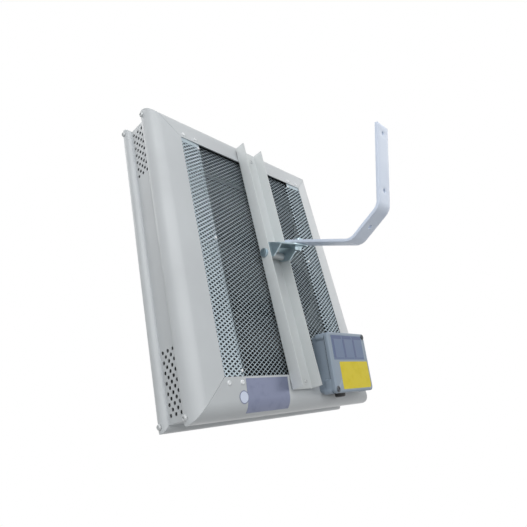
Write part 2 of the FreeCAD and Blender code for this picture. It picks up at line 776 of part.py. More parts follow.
def cross_rail(label, turn, side_sign):
    """Top or bottom rail with holes for the flange and channel screws."""
    body = rail(label, "opening_width", "opening_height", turn)
    holes = sketch_on(body, "XZ_Plane")
    spots = [("flange_screw_out", f"{sign}{place}") for sign in ("", "-")
             for place in (FLANGE_INNER, FLANGE_OUTER)]
    spots += [("channel_screw_out", f"{sign}channel_screw_side") for sign in ("", "-")]
    add_flats(holes, spots, "pan_shank + 2 * screw_hole_gap")
    cut(body, holes, "rail_depth / 2", along_normal=True)
    if side_sign < 0:
        entries = sketch_on(body, "XZ_Plane")
        spots = [("loom_drop", f"-{BOX_SIDE} - loom_shift {sign} loom_spread") for sign in ("+", "-")]
        add_flats(entries, spots, "grommet_width", TURNED_SIDES)
        cut(body, entries, "rail_depth / 2", along_normal=True)


def rail_fasteners():
    """Domed screws at the corners of the side rails, screws on the flanges and the gussets under them.

    The corner under the terminal box has no screws here: the box's own take their place.
    """
    head = worth("corner_screw_head") / 2
    high = worth("corner_screw_high")
    shank = worth("corner_screw_shank") / 2
    profile = [(shank, -worth("corner_screw_long")), (shank, 0), (head, 0), (head, high * 0.3),
               (head * 0.82, high * 0.72), (head * 0.45, high)]
    up = worth("opening_height / 2 + corner_screw_out")
    solids = []
    for side in (1, -1):
        for reach, depth in (("rail_reach", BULGE_Y), ("nose_reach", NOSE_Y)):
            for end in (1, -1):
                spot = FreeCAD.Vector(side * worth(f"opening_width / 2 + {reach}"), worth(depth), end * up)
                place = FreeCAD.Placement(spot, facing(X_AXIS * side))
                solids.append(turned(profile, place, sides=WIRE_SIDES))
    group("corner_screws", solids, in_heater())
    heads = []
    gussets = []
    middle = worth(f"{FLANGE_OUTER} - flange_screw_gap / 2")
    long = worth("flange_screw_gap + 2 * gusset_spare")
    for end in (1, -1):
        for side in (1, -1):
            under_box = end < 0 and side < 0
            for place in () if under_box else (FLANGE_INNER, FLANGE_OUTER):
                heads.append(pan_screw(flange_spot(side * worth(place), worth("flange_screw_out"), end)))
            deep = worth("gusset_deep")
            thick = worth("gusset_thick")
            low = -thick - worth("rail_sheet")
            plate = Part.makeBox(long, deep, thick, FreeCAD.Vector(-long / 2, -deep / 2, low))
            for shift in (-1, 1):
                spot = X_AXIS * shift * worth("flange_screw_gap / 2") + Z_AXIS * low
                hole = worth("pan_shank / 2 + screw_hole_gap")
                place = FreeCAD.Placement(spot, FreeCAD.Rotation())
                plate = plate.cut(turned([(hole, 0), (hole, thick)], place, sides=HOLE_SIDES))
            plate.Placement = flange_spot(side * middle, worth("flange_screw_out"), end)
            gussets.append(plate)
    group("flange_screws", heads, in_heater())
    group("corner_gussets", gussets, in_heater())


# Rear mesh

def mesh_level(x):
    """Height of the tray's rear face across the opening: flat middle, slanted strips, rim under the rails."""
    fold = worth(MESH_FOLD)
    edge = worth("opening_width") / 2
    rim = -worth("rail_sheet / cos(flange_slope)")
    low = -worth("mesh_depth")
    if abs(x) <= fold:
        return low
    if abs(x) <= edge:
        return low + (rim - low) * (abs(x) - fold) / (edge - fold)
    return rim - (abs(x) - edge) * math.tan(math.radians(worth("flange_slope")))


def mesh_face(points):
    """Give the closed wire through (x, z) points on the tray."""
    corners = [FreeCAD.Vector(x, mesh_level(x), z) for x, z in points]
    return Part.makePolygon(corners + corners[:1])


def mesh_panel(low_x, high_x, columns):
    """One flat panel of the tray, pierced by staggered diamonds."""
    end = worth("opening_height / 2 - mesh_end_gap")
    outer = mesh_face([(low_x, -end), (high_x, -end), (high_x, end), (low_x, end)])
    border = worth("mesh_border")
    share = worth("mesh_open_share") / 2
    wires = [outer]
    if columns:
        across = (high_x - low_x - 2 * border) / columns
        up = 2 * (end - border) / MESH_ROWS
        for shift in (0.5, 1.0):
            for column in range(columns if shift < 1 else columns - 1):
                for row in range(MESH_ROWS if shift < 1 else MESH_ROWS - 1):
                    x = low_x + border + (column + shift) * across
                    z = -end + border + (row + shift) * up
                    wires.append(mesh_face([(x - across * share, z), (x, z - up * share),
                                            (x + across * share, z), (x, z + up * share)]))
    face = Part.makeFace(wires, "Part::FaceMakerBullseye")
    return face.extrude(Y_AXIS * -worth("mesh_sheet"))


def rear_mesh():
    """Mesh tray: a flat middle, two slanted strips and rims that lie under the side rails."""
    fold = worth(MESH_FOLD)
    edge = worth("opening_width") / 2
    rim = edge + worth("mesh_rim")
    spans = [(-rim, -edge, 0), (-edge, -fold, MESH_STRIP_COLUMNS), (-fold, fold, MESH_COLUMNS),
             (fold, edge, MESH_STRIP_COLUMNS), (edge, rim, 0)]
    panels = [mesh_panel(*span) for span in spans]
    tray = panels[0].multiFuse(panels[1:]).removeSplitter()
    group("rear_mesh", tray.Solids, in_heater())
    slant = math.atan2(mesh_level(edge) - mesh_level(fold), edge - fold)
    end = worth("opening_height / 2 - mesh_end_gap - rivet_end")
    radius = worth("rivet_head") / 2
    high = worth("rivet_high")
    profile = [(radius, 0), (radius * 0.8, high * 0.7), (radius * 0.4, high)]
    x = fold + worth("rivet_out")
    rivets = []
    for side in (1, -1):
        normal = FreeCAD.Vector(-side * math.sin(slant), math.cos(slant), 0)
        for z in (-end, worth("rivet_middle"), end):
            spot = FreeCAD.Vector(side * x, mesh_level(x), z)
            rivets.append(turned(profile, FreeCAD.Placement(spot, facing(normal)), sides=HOLE_SIDES))
    group("mesh_rivets", rivets, in_heater())


# Lamps and reflectors

def end_plates():
    """Upright plates against the side rails' lips, which carry the reflectors and the lamp holders."""
    for label, side in (("end_plate_left", 1), ("end_plate_right", -1)):
        body = new_body(label)
        front = "(plate_front_gap - rail_depth)"
        end = "(opening_height / 2 + lip_inset - plate_end_gap)"
        sketch = sketch_on(body, "YZ_Plane", f"{PLATE_X} - plate_sheet")
        add_outline(sketch, rectangle(front, f"-{end}", f"{front} + plate_deep", end))
        add_flats(sketch, [(LAMP_Y, f"{step} * {LAMP_PITCH}") for step in LAMPS.values()],
                  "neck_width + 2 * neck_gap")
        pad(body, sketch, "plate_sheet")
        body.Placement = in_heater(rotation=FreeCAD.Rotation(Y_AXIS, 0 if side > 0 else 180))


def reflector(name, step):
    """Bright trough behind one lamp, held between the end plates."""
    body = new_body(f"reflector_{name}")
    side = f"(({LAMP_PITCH} - reflector_gap) / 2)"
    radius = f"(({side} ^ 2 + reflector_deep ^ 2) / (2 * reflector_deep))"
    mouth = "(reflector_front - rail_depth)"
    drop = f"({radius} - reflector_deep)"
    half = f"sqrt(({radius} - reflector_sheet) ^ 2 - {drop} ^ 2)"
    sketch = sketch_on(body, "YZ_Plane")
    add_outline(sketch, [(mouth, f"-{side}"), (mouth, side), (mouth, half), (mouth, f"-{half}")],
                {0: (radius, 1), 2: (f"{radius} - reflector_sheet", -1)})
    pad(body, sketch, f"2 * ({PLATE_X} - plate_sheet)", symmetric=True)
    body.Placement = in_heater(z=step * worth(LAMP_PITCH))


def lamp_tube(name, step):
    """Quartz tube between two ceramic caps."""
    body = new_body(f"lamp_tube_{name}")
    sketch = sketch_on(body, "YZ_Plane")
    add_flats(sketch, [("0", "0")], "tube_width", TURNED_SIDES)
    add_flats(sketch, [("0", "0")], "tube_width - 2 * tube_wall", TURNED_SIDES)
    pad(body, sketch, f"2 * ({PLATE_X} - plate_sheet - holder_thick - cap_long)", symmetric=True)
    body.Placement = in_heater(y=worth(LAMP_Y), z=step * worth(LAMP_PITCH))


def lamp_fittings():
    """Filaments, ceramic caps and ceramic holders of the three lamps."""
    plate = worth(f"{PLATE_X} - plate_sheet")
    thick = worth("holder_thick")
    cap_end = plate - thick
    cap = worth("cap_width") / 2
    cap_long = worth("cap_long")
    profile = [(cap * 0.8, 0), (cap, cap * 0.2), (cap, cap_long)]
    block = Part.makeBox(worth("holder_wide"), worth("holder_high"), thick,
                         FreeCAD.Vector(-worth("holder_wide") / 2, -worth("holder_high") / 2, 0))
    neck = worth("neck_width") / 2
    stem = turned([(neck, 0), (neck, thick + worth("neck_long"))], FreeCAD.Placement(), sides=HOLE_SIDES)
    holder = block.fuse(stem).removeSplitter()
    filament = worth("filament_width") / 2
    filaments = []
    caps = []
    holders = []
    for step in LAMPS.values():
        axis = FreeCAD.Vector(0, worth(LAMP_Y), step * worth(LAMP_PITCH))
        half = cap_end - cap_long
        along = FreeCAD.Placement(axis, facing(X_AXIS))
        filaments.append(turned([(filament, -half), (filament, half)], along, sides=WIRE_SIDES))
        for side in (1, -1):
            way = facing(X_AXIS * side)
            cap_place = FreeCAD.Placement(axis + X_AXIS * side * half, way)
            caps.append(turned(profile, cap_place, sides=HOLE_SIDES))
            piece = holder.copy()
            piece.Placement = FreeCAD.Placement(axis + X_AXIS * side * cap_end, way)
            holders.append(piece)
    group("lamp_filaments", filaments, in_heater())
    group("lamp_caps", caps, in_heater())
    group("lamp_holders", holders, in_heater())


def rounded_path(points, radius):
    """Join points by straight runs with a tangent arc of one radius at each inner corner."""
    edges = []
    start = points[0]
    for before, corner, after in zip(points, points[1:], points[2:]):
        into = (corner - before).normalize()
        away = (after - corner).normalize()
        setback = radius * math.tan(into.getAngle(away) / 2)
        first = corner - into * setback
        last = corner + away * setback
        inward = (away - into).normalize()
        middle = corner + inward * (radius / math.cos(into.getAngle(away) / 2) - radius)
        edges.append(Part.LineSegment(start, first).toShape())
        edges.append(Part.Arc(first, middle, last).toShape())
        start = last
    edges.append(Part.LineSegment(start, points[-1]).toShape())
    return Part.Wire(edges)


def tube_along(path, width, sides):
    """Sweep a many-sided section along a path whose first run lies along an axis."""
    along = path.Edges[0].Curve.Direction
    start = path.Vertexes[0].Point
    turn = facing(along)
    corners = [start + turn.multVec(FreeCAD.Vector(math.cos(angle), math.sin(angle), 0)) * (width / 2)
               for angle in (2 * math.pi * (side + 0.5) / sides for side in range(sides))]
    return path.makePipeShell([Part.makePolygon(corners + corners[:1])], True, False)


def wiring_looms():
    """Sleeved leads from the lamp holders' necks down each side and into the terminal box."""
    width = worth("loom_width")
    neck_end = worth(f"{PLATE_X} - plate_sheet + neck_long")
    side_x = neck_end + worth("loom_seat_gap") + width / 2
    top = worth(f"{LAMP_PITCH} + loom_over")
    low = -worth("opening_height / 2 + loom_drop")
    deep = worth(LAMP_Y)
    rear = worth("loom_in_box")
    for label, side in (("wiring_loom_left", 1), ("wiring_loom_right", -1)):
        entry = -worth(f"{BOX_SIDE} + loom_shift") + side * worth("loom_spread")
        route = [FreeCAD.Vector(side * side_x, deep, top), FreeCAD.Vector(side * side_x, deep, low),
                 FreeCAD.Vector(entry, deep, low), FreeCAD.Vector(entry, rear, low)]
        path = rounded_path(route, worth("loom_bend"))
        group(label, [tube_along(path, width, WIRE_SIDES)], in_heater())
    lip = worth("grommet_lip")
    sheet_thick = worth("rail_sheet")
    bore = width / 2 + worth("grommet_gap")
    outer = worth("grommet_width") / 2
    body = outer - worth("grommet_gap") / 2
    profile = [(bore, -sheet_thick - lip), (outer + lip, -sheet_thick - lip), (outer + lip, -sheet_thick),
               (body, -sheet_thick), (body, 0), (bore, 0)]
    entries = [-worth(f"{BOX_SIDE} + loom_shift") + side * worth("loom_spread") for side in (1, -1)]
    seats = [flange_spot(entry, worth("loom_drop"), -1) for entry in entries]
    grommets = [turned(profile, seat, hollow=True, sides=HOLE_SIDES) for seat in seats]
    group("loom_grommets", grommets, in_heater())


def guard_grille():
    """Welded wire guard inside the front lips: a round-cornered frame, upright bars and two cross wires."""
    wire = worth("guard_frame_wire")
    half_x = worth(PLATE_X) - wire / 2
    half_z = worth("opening_height / 2 + lip_inset") - wire / 2
    y = wire / 2 - worth("rail_depth")
    corners = [(0, -half_z), (half_x, -half_z), (half_x, half_z), (-half_x, half_z), (-half_x, -half_z),
               (0, -half_z)]
    path = rounded_path([FreeCAD.Vector(x, y, z) for x, z in corners], worth("guard_corner"))
    solids = [tube_along(path, wire, WIRE_SIDES)]
    bar = worth("guard_bar")
    pitch = 2 * half_x / (GUARD_BARS + 1)
    for index in range(1, GUARD_BARS + 1):
        x = -half_x + index * pitch
        place = FreeCAD.Placement(FreeCAD.Vector(x, y, 0), FreeCAD.Rotation())
        solids.append(turned([(bar / 2, -half_z), (bar / 2, half_z)], place, sides=WIRE_SIDES))
    cross = worth("guard_cross")
    cross_y = y + (bar + cross) / 2 - worth("guard_weld")
    for side in (1, -1):
        place = FreeCAD.Placement(FreeCAD.Vector(0, cross_y, side * worth(LAMP_PITCH) / 2), facing(X_AXIS))
        solids.append(turned([(cross / 2, -half_x), (cross / 2, half_x)], place, sides=WIRE_SIDES))
    group("guard_grille", [solids[0].multiFuse(solids[1:]).removeSplitter().Solids[0]], in_heater())


# Terminal box

BOX_MIDDLE = "(lid_high / 2 - box_low)"
BASE_WIDE = "(lid_width - 2 * box_inset)"
BASE_HIGH = "(lid_high - 2 * box_inset)"
LID_LOW = "(box_deep + gasket_thick)"


def boss_spots():
    """Give the four corner bosses under the lid."""
    return [(f"{across}(lid_width - boss_width) / 2", f"{BOX_MIDDLE} {up} (lid_high - boss_width) / 2")
            for across in ("", "-") for up in ("+", "-")]


def box_screw_spots():
    """Give the two flange screws of the box's own corner, whose heads lie inside the box."""
    return [(f"{place} - {BOX_SIDE}", "-flange_screw_out / cos(flange_slope)")
            for place in (FLANGE_INNER, FLANGE_OUTER)]


def lid_screw_spots():
    """Give the two screwed corners, on one diagonal."""
    spots = boss_spots()
    return [spots[0], spots[3]]


def terminal_box_base():
    """Open plastic tray with a screw boss at each corner."""
    body = new_body("terminal_box_base")
    shell = sketch_on(body, "XY_Plane")
    add_outline(shell, *rounded(BASE_WIDE, BASE_HIGH, "box_corner", BOX_MIDDLE))
    pad(body, shell, "box_deep")
    hollow = sketch_on(body, "XY_Plane", "box_deep")
    add_outline(hollow, clipped(f"({BASE_WIDE} - 2 * box_wall)", f"({BASE_HIGH} - 2 * box_wall)",
                                "(box_corner - box_wall)", BOX_MIDDLE))
    cut(body, hollow, "box_deep - box_wall")
    bosses = sketch_on(body, "XY_Plane", "box_deep - boss_long")
    add_flats(bosses, boss_spots(), "boss_width", TURNED_SIDES)
    pad(body, bosses, "boss_long")
    threads = sketch_on(body, "XY_Plane", "box_deep")
    add_flats(threads, lid_screw_spots(), "lid_screw_shank + 2 * screw_hole_gap")
    cut(body, threads, "lid_screw_long - lid_thick - gasket_thick + lid_screw_sunk")
    gland = sketch_on(body, "XZ_Plane")
    add_flats(gland, [("-gland_side", "gland_up")], "gland_neck + 2 * gland_fit", TURNED_SIDES)
    cut(body, gland, "box_low", along_normal=True)
    floor = sketch_on(body, "XY_Plane")
    add_flats(floor, box_screw_spots(), "pan_shank + 2 * screw_hole_gap")
    drop = "-loom_drop / cos(flange_slope)"
    spots = [(f"loom_shift {sign} loom_spread", drop) for sign in ("+", "-")]
    add_flats(floor, spots, "grommet_width", TURNED_SIDES)
    cut(body, floor, "2 * box_wall", along_normal=True)
    body.Placement = box_frame()


def terminal_box_lid():
    """Shallow lid with bevelled edges, on a gasket."""
    body = new_body("terminal_box_lid")
    plate = sketch_on(body, "XY_Plane", LID_LOW)
    add_outline(plate, *rounded("lid_width", "lid_high", "lid_corner", BOX_MIDDLE))
    pad(body, plate, "lid_thick")
    top = worth(f"{LID_LOW} + lid_thick")
    near = worth("lid_edge") / 10
    bevel_edges(body, "lid_edge", lambda edge: abs(edge.BoundBox.ZMin - top) < near)
    hollow = sketch_on(body, "XY_Plane", LID_LOW)
    add_outline(hollow, clipped(f"({BASE_WIDE} - 2 * box_wall - boss_width)", f"({BASE_HIGH} - 2 * box_wall)",
                                "(box_corner - box_wall)", BOX_MIDDLE))
    cut(body, hollow, "lid_thick - box_wall", along_normal=True)
    holes = sketch_on(body, "XY_Plane", LID_LOW)
    add_flats(holes, lid_screw_spots(), "lid_screw_shank + 2 * screw_hole_gap")
    cut(body, holes, "lid_thick", along_normal=True)
    sinks = sketch_on(body, "XY_Plane", f"{LID_LOW} + lid_thick")
    add_flats(sinks, lid_screw_spots(), "lid_screw_head + 2 * screw_hole_gap")
    cut(body, sinks, "lid_screw_sunk")
    body.Placement = box_frame()


def terminal_box_fittings():
    """Gasket, screws and terminal block of the box."""
    gasket = new_body("box_gasket")
    ring = sketch_on(gasket, "XY_Plane", "box_deep")
    add_outline(ring, clipped("(lid_width - 2 * lid_edge)", "(lid_high - 2 * lid_edge)",
                              "(lid_corner - lid_edge)", BOX_MIDDLE))
    add_outline(ring, clipped(f"({BASE_WIDE} - 2 * box_wall)", f"({BASE_HIGH} - 2 * box_wall)",
                              "(box_corner - box_wall)", BOX_MIDDLE))
    pad(gasket, ring, "gasket_thick")
    relief = sketch_on(gasket, "XY_Plane", "box_deep")
    add_flats(relief, lid_screw_spots(), "lid_screw_shank + 2 * screw_hole_gap")
    cut(gasket, relief)
    gasket.Placement = box_frame()
    top = worth(f"{LID_LOW} + lid_thick")
    head = worth("lid_screw_head") / 2
    shank = worth("lid_screw_shank") / 2
    sunk = worth("lid_screw_sunk")
    profile = [(shank, -worth("lid_screw_long")), (shank, -sunk), (head, -sunk), (head, -sunk * 0.2),
               (head * 0.8, 0)]
    spots = [FreeCAD.Vector(worth(x), worth(y), top) for x, y in lid_screw_spots()]
    upright = FreeCAD.Rotation()
    screws = [turned(profile, FreeCAD.Placement(spot, upright), sides=HOLE_SIDES) for spot in spots]
    group("lid_screws", screws, box_frame())
    floor = worth("box_wall")
    seats = [FreeCAD.Vector(worth(x), worth(y), floor) for x, y in box_screw_spots()]
    group("box_screws", [pan_screw(FreeCAD.Placement(seat, upright)) for seat in seats], box_frame())
    block = new_body("terminal_block")
    base = sketch_on(block, "XY_Plane", "box_wall")
    add_outline(base, rectangle("-block_long / 2", "block_up - block_wide / 2", "block_long / 2",
                                "block_up + block_wide / 2"))
    pad(block, base, "block_high")
    ways = sketch_on(block, "XY_Plane", "box_wall + block_high")
    slot = f"block_long / {2 * BLOCK_WAYS + 1}"
    for way in range(-(BLOCK_WAYS // 2), BLOCK_WAYS // 2 + 1):
        add_outline(ways, rectangle(f"{2 * way} * {slot} - {slot} / 2", "block_up - block_wide / 4",
                                    f"{2 * way} * {slot} + {slot} / 2", "block_up + block_wide / 4"))
    cut(block, ways, "block_high / 2")
    block.Placement = box_frame()


def cable_gland():
    """Cable gland in the box's lower wall: collar and dome outside, neck through the wall, nut inside."""
    bore = worth("gland_bore") / 2
    neck = worth("gland_neck") / 2
    dome = worth("gland_dome") / 2
    collar_high = worth("gland_collar_high")
    out = collar_high + worth("gland_dome_high")
    inside = -worth("box_wall + gland_nut_high + bolt_end")
    wall = worth(f"{BOX_MIDDLE} - {BASE_HIGH} / 2")
    spot = FreeCAD.Vector(-worth("gland_side"), wall, worth("gland_up"))
    place = FreeCAD.Placement(spot, facing(-Y_AXIS))
    round_off = worth("gland_round")
    profile = [(neck, inside), (neck, collar_high), (dome, collar_high), (dome, out - round_off),
               (dome - round_off, out)]
    collar = hexagon(worth("gland_collar"), collar_high)
    gland = turned(profile, FreeCAD.Placement()).fuse(collar)
    gland = gland.cut(Part.makeCylinder(bore, out - inside, Z_AXIS * inside)).removeSplitter()
    gland.Placement = place
    group("cable_gland", gland.Solids, box_frame())
    nut = hexagon(worth("gland_nut"), worth("gland_nut_high"))
    nut = nut.cut(turned([(neck, 0), (neck, worth("gland_nut_high"))], FreeCAD.Placement()))
    nut.Placement = FreeCAD.Placement(spot + Y_AXIS * worth("box_wall + gland_nut_high"), facing(-Y_AXIS))
    group("gland_nut", [nut], box_frame())


# The whole heater

def build():
    """Make every sub-part in order."""
    wall_strap()
    swivel_hardware()
    swivel_knuckle()
    mount_channel()
    channel_fasteners()
    side_rail("rail_left", 0)
    side_rail("rail_right", 180)
    cross_rail("rail_top", -90, 1)
    cross_rail("rail_bottom", 90, -1)
    rail_fasteners()
    rear_mesh()
    end_plates()
    for name, step in LAMPS.items():
        reflector(name, step)
        lamp_tube(name, step)
    lamp_fittings()
    wiring_looms()
    guard_grille()
    terminal_box_base()
    terminal_box_lid()
    terminal_box_fittings()
    cable_gland()
    doc.recompute()


def export():
    """Check every object and write one file for each sub-part."""
    for item in doc.Objects:
        if "Invalid" in item.State or "Error" in item.State:
            raise RuntimeError(f"{item.Label}: {item.State}")
    os.makedirs("parts", exist_ok=True)
    for piece in pieces:
        shape = piece.Shape
        if shape.isNull() or not shape.isValid() or not shape.Solids:
            raise RuntimeError(f"{piece.Label}: not a valid solid")
        shape.exportStep(f"parts/{piece.Label}.step")
    print(len(pieces), "sub-parts,", sum(len(piece.Shape.Solids) for piece in pieces), "solids")


build()
export()
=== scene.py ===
"""Looks of an infrared heater on a bent wall strap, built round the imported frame.

Sizes are millimetres in the heater's own frame (x across, y rearwards, z up the panel, origin in the
middle of the rear opening) or in the strap's, and a Place turns them into metres in the row frame.
"""

import json
import logging
import math
from dataclasses import dataclass
from enum import Enum
from functools import cache
from typing import Any, Sequence

import bmesh
import bpy
import numpy as np
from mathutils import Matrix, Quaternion, Vector


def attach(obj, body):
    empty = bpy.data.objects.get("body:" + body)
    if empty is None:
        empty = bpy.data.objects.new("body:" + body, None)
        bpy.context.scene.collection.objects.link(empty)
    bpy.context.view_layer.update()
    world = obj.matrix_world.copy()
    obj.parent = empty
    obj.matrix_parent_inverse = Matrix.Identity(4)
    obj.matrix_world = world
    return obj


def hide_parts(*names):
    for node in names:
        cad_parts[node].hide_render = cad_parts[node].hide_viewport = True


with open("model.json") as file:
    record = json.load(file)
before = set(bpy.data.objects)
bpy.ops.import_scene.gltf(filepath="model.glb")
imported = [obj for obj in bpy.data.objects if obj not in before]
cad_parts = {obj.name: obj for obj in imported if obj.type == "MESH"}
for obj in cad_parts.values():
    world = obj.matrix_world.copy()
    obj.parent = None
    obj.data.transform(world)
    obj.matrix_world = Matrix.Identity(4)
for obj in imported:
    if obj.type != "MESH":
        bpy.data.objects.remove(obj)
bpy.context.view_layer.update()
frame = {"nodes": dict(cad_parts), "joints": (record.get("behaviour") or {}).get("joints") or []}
MM = 0.001
log = logging.getLogger("heater")

Socket = bpy.types.NodeSocket
Material = bpy.types.Material
Colour = tuple[float, float, float]
Spot = Sequence[float]
Profile = Sequence[tuple[float, float]]
Patch = tuple[tuple[float, float], tuple[float, float], float]


class Body(Enum):
    """The bodies of the frame that pieces ride on."""

    BRACKET = "wall_bracket"
    KNUCKLE = "knuckle"
    HEATER = "heater"


class Slot(Enum):
    """The record's material slots, passed to the new pieces."""

    STRAP = "strap_paint"
    ZINC = "zinc"
    CASE = "case_paint"
    GALVANISED = "galvanised"
    REFLECTOR = "reflector"
    QUARTZ = "quartz"
    FILAMENT = "filament"
    CERAMIC = "ceramic"
    RUBBER = "rubber"
    GUARD = "guard_wire"
    BOX = "box_plastic"
    BLACK = "black_plastic"


def srgb(red: int, green: int, blue: int) -> Colour:
    """Turn a colour of 0 to 255 parts into linear light, by the curve of the sRGB standard."""
    return tuple(part / 12.92 if part <= 0.04045 else ((part + 0.055) / 1.055) ** 2.4
                 for part in (red / 255, green / 255, blue / 255))


# Shader arithmetic

class Value:
    """A number socket that takes part in Python arithmetic by adding Math nodes."""

    def __init__(self, shader: "Shader", socket: Socket) -> None:
        """Keep the socket and the shader that it belongs to."""
        self.shader = shader
        self.socket = socket

    def math(self, operation: str, first: Any, second: Any = 0.0) -> "Value":
        """Add one Math node for an operation on two numbers or values."""
        made = self.shader.node("ShaderNodeMath", {"operation": operation}, {0: first, 1: second})
        return Value(self.shader, made.outputs[0])

    def __add__(self, other: Any) -> "Value":
        """Sum."""
        return self.math("ADD", self, other)

    __radd__ = __add__

    def __mul__(self, other: Any) -> "Value":
        """Product."""
        return self.math("MULTIPLY", self, other)

    __rmul__ = __mul__

    def __sub__(self, other: Any) -> "Value":
        """Difference."""
        return self.math("SUBTRACT", self, other)

    def __rsub__(self, other: Any) -> "Value":
        """Difference from a number."""
        return self.math("SUBTRACT", other, self)

    def sine(self) -> "Value":
        """Sine of an angle in radians."""
        return self.math("SINE", self)

    def larger(self, other: Any) -> "Value":
        """Larger of the two."""
        return self.math("MAXIMUM", self, other)


class Shader:
    """One material or world and the nodes that are added to it."""

    def __init__(self, name: str, world: bool = False) -> None:
        """Start an empty material, or an empty world.

        Args:
            name: Its name.
            world: Whether it is a world.
        """
        self.block = (bpy.data.worlds if world else bpy.data.materials).new(name)
        self.block.use_nodes = True
        self.tree = self.block.node_tree
        self.tree.nodes.clear()
        self.output = self.node("ShaderNodeOutputWorld" if world else "ShaderNodeOutputMaterial")

    def node(self, kind: str, settings: dict[str, Any] | None = None,
             inputs: dict[Any, Any] | None = None) -> bpy.types.Node:
        """Add a node, set it up and fill its sockets.

        Args:
            kind: Blender's type of node.
            settings: Properties set before the sockets; stops are a ramp's places and grey levels.
            inputs: Numbers, colours, sockets or Values for the sockets, by name or number.

        Returns:
            The node.
        """
        made = self.tree.nodes.new(kind)
        for key, setting in (settings or {}).items():
            if key == "stops":
                for element, (place, level) in zip(made.color_ramp.elements, setting):
                    element.position = place
                    element.color = (level, level, level, 1.0)
            else:
                setattr(made, key, setting)
        for key, given in (inputs or {}).items():
            socket = made.inputs[key]
            source = given.socket if isinstance(given, Value) else given
            if isinstance(source, Socket):
                self.tree.links.new(source, socket)
            else:
                socket.default_value = (*source, 1.0) if socket.type == "RGBA" else source
        return made

    def place(self, stretch: Spot = (1, 1, 1)) -> Socket:
        """Give the object's own coordinates in metres, stretched along its axes."""
        spot = self.node("ShaderNodeTexCoord").outputs["Object"]
        return self.node("ShaderNodeMapping", {}, {"Vector": spot, "Scale": stretch}).outputs[0]

    def axis(self, letter: str) -> Value:
        """Give one of the object's coordinates in metres."""
        split = self.node("ShaderNodeSeparateXYZ", {}, {0: self.place()})
        return Value(self, split.outputs[letter])

    def noise(self, scale: float, detail: float, stretch: Spot = (1, 1, 1)) -> Value:
        """Noise from nought to one with so many clouds in a metre, finer layers and a stretch."""
        clouds = {"Vector": self.place(stretch), "Scale": scale, "Detail": detail}
        return Value(self, self.node("ShaderNodeTexNoise", {}, clouds).outputs["Fac"])

    def red(self, colour: Socket) -> Value:
        """Give a colour's red part as a number."""
        return Value(self, self.node("ShaderNodeSeparateColor", {}, {0: colour}).outputs[0])

    def cells(self, scale: float) -> Value:
        """A random number for each of so many cells in a metre."""
        made = self.node("ShaderNodeTexVoronoi", {}, {"Vector": self.place(), "Scale": scale})
        return self.red(made.outputs["Color"])

    def ramp(self, value: Value, start: float, stop: float, low: float = 0.0) -> Value:
        """Stretch a value so that it is low up to the start and one from the stop on."""
        made = self.node("ShaderNodeValToRGB", {"stops": ((start, low), (stop, 1.0))}, {"Fac": value})
        return self.red(made.outputs[0])

    def mix(self, share: Value, first: Colour, second: Colour) -> Socket:
        """Mix two colours by the second one's share."""
        return self.node("ShaderNodeMix", {"data_type": "RGBA"}, {0: share, 6: first, 7: second}).outputs[2]

    def bump(self, height: Value, distance: float, strength: float) -> Socket:
        """Turn heights into a bent normal, for a full height in metres."""
        made = self.node("ShaderNodeBump", {}, {"Height": height, "Distance": distance, "Strength": strength})
        return made.outputs[0]

    def seen(self) -> Value:
        """One for what the camera sees straight, in reflections or through glass, else nought.

        Returns:
            The one or nought.
        """
        path = self.node("ShaderNodeLightPath")
        straight, mirrored, through = [Value(self, path.outputs[f"Is {ray} Ray"])
                                       for ray in ("Camera", "Glossy", "Transmission")]
        return straight.larger(mirrored).larger(through)

    def gloss(self, inputs: dict[str, Any]) -> Socket:
        """Add the glossy shader with values of its sockets."""
        return self.node("ShaderNodeBsdfPrincipled", {}, inputs).outputs[0]

    def glow(self, kind: str, strength: float) -> Socket:
        """Add a white glow of a kind of node, at a strength."""
        return self.node(kind, {}, {"Color": WHITE, "Strength": strength}).outputs[0]

    def blend(self, share: Value, first: Socket, second: Socket) -> Socket:
        """Mix two shaders by the second one's share."""
        return self.node("ShaderNodeMixShader", {}, {0: share, 1: first, 2: second}).outputs[0]

    def end(self, shown: Socket) -> bpy.types.ID:
        """End the tree in a shader and give its material or world."""
        self.tree.links.new(shown, self.output.inputs["Surface"])
        return self.block

    def surface(self, inputs: dict[str, Any]) -> Material:
        """End the material in one glossy shader with values of its sockets."""
        return self.end(self.gloss(inputs))


# Finishes

WHITE = (1.0, 1.0, 1.0)
EVEN = (1.0, 1.0, 1.0)


@dataclass(frozen=True)
class Layer:
    """A pattern over a surface and what it does there.

    The scale counts clouds or cells in a metre and the detail finer layers of noise. A small part of drawn
    draws the noise out along that axis, and the window is the range of it that is stretched to the full one.
    The tint is the pattern's share of the second colour, the dulling times the pattern less its middle is
    added to the roughness, and the height in metres bends the normal, with a strength of up to one.
    """

    scale: float
    detail: float = 2.0
    drawn: Colour = EVEN
    window: tuple[float, float] | None = None
    cells: bool = False
    tint: float = 0.0
    dulling: float = 0.0
    middle: float = 0.0
    height: float = 0.0
    strength: float = 0.0

    def pattern(self, shader: Shader) -> Value:
        """Add the layer's nodes.

        Args:
            shader: The material to add them to.

        Returns:
            The pattern, from nought to one.
        """
        if self.cells:
            return shader.cells(self.scale)
        clouds = shader.noise(self.scale, self.detail, self.drawn)
        return shader.ramp(clouds, *self.window) if self.window else clouds


@dataclass(frozen=True)
class Finish:
    """What a piece is made of."""

    name: str
    colour: Colour

    def make(self) -> Material:
        """Build the material."""
        raise NotImplementedError


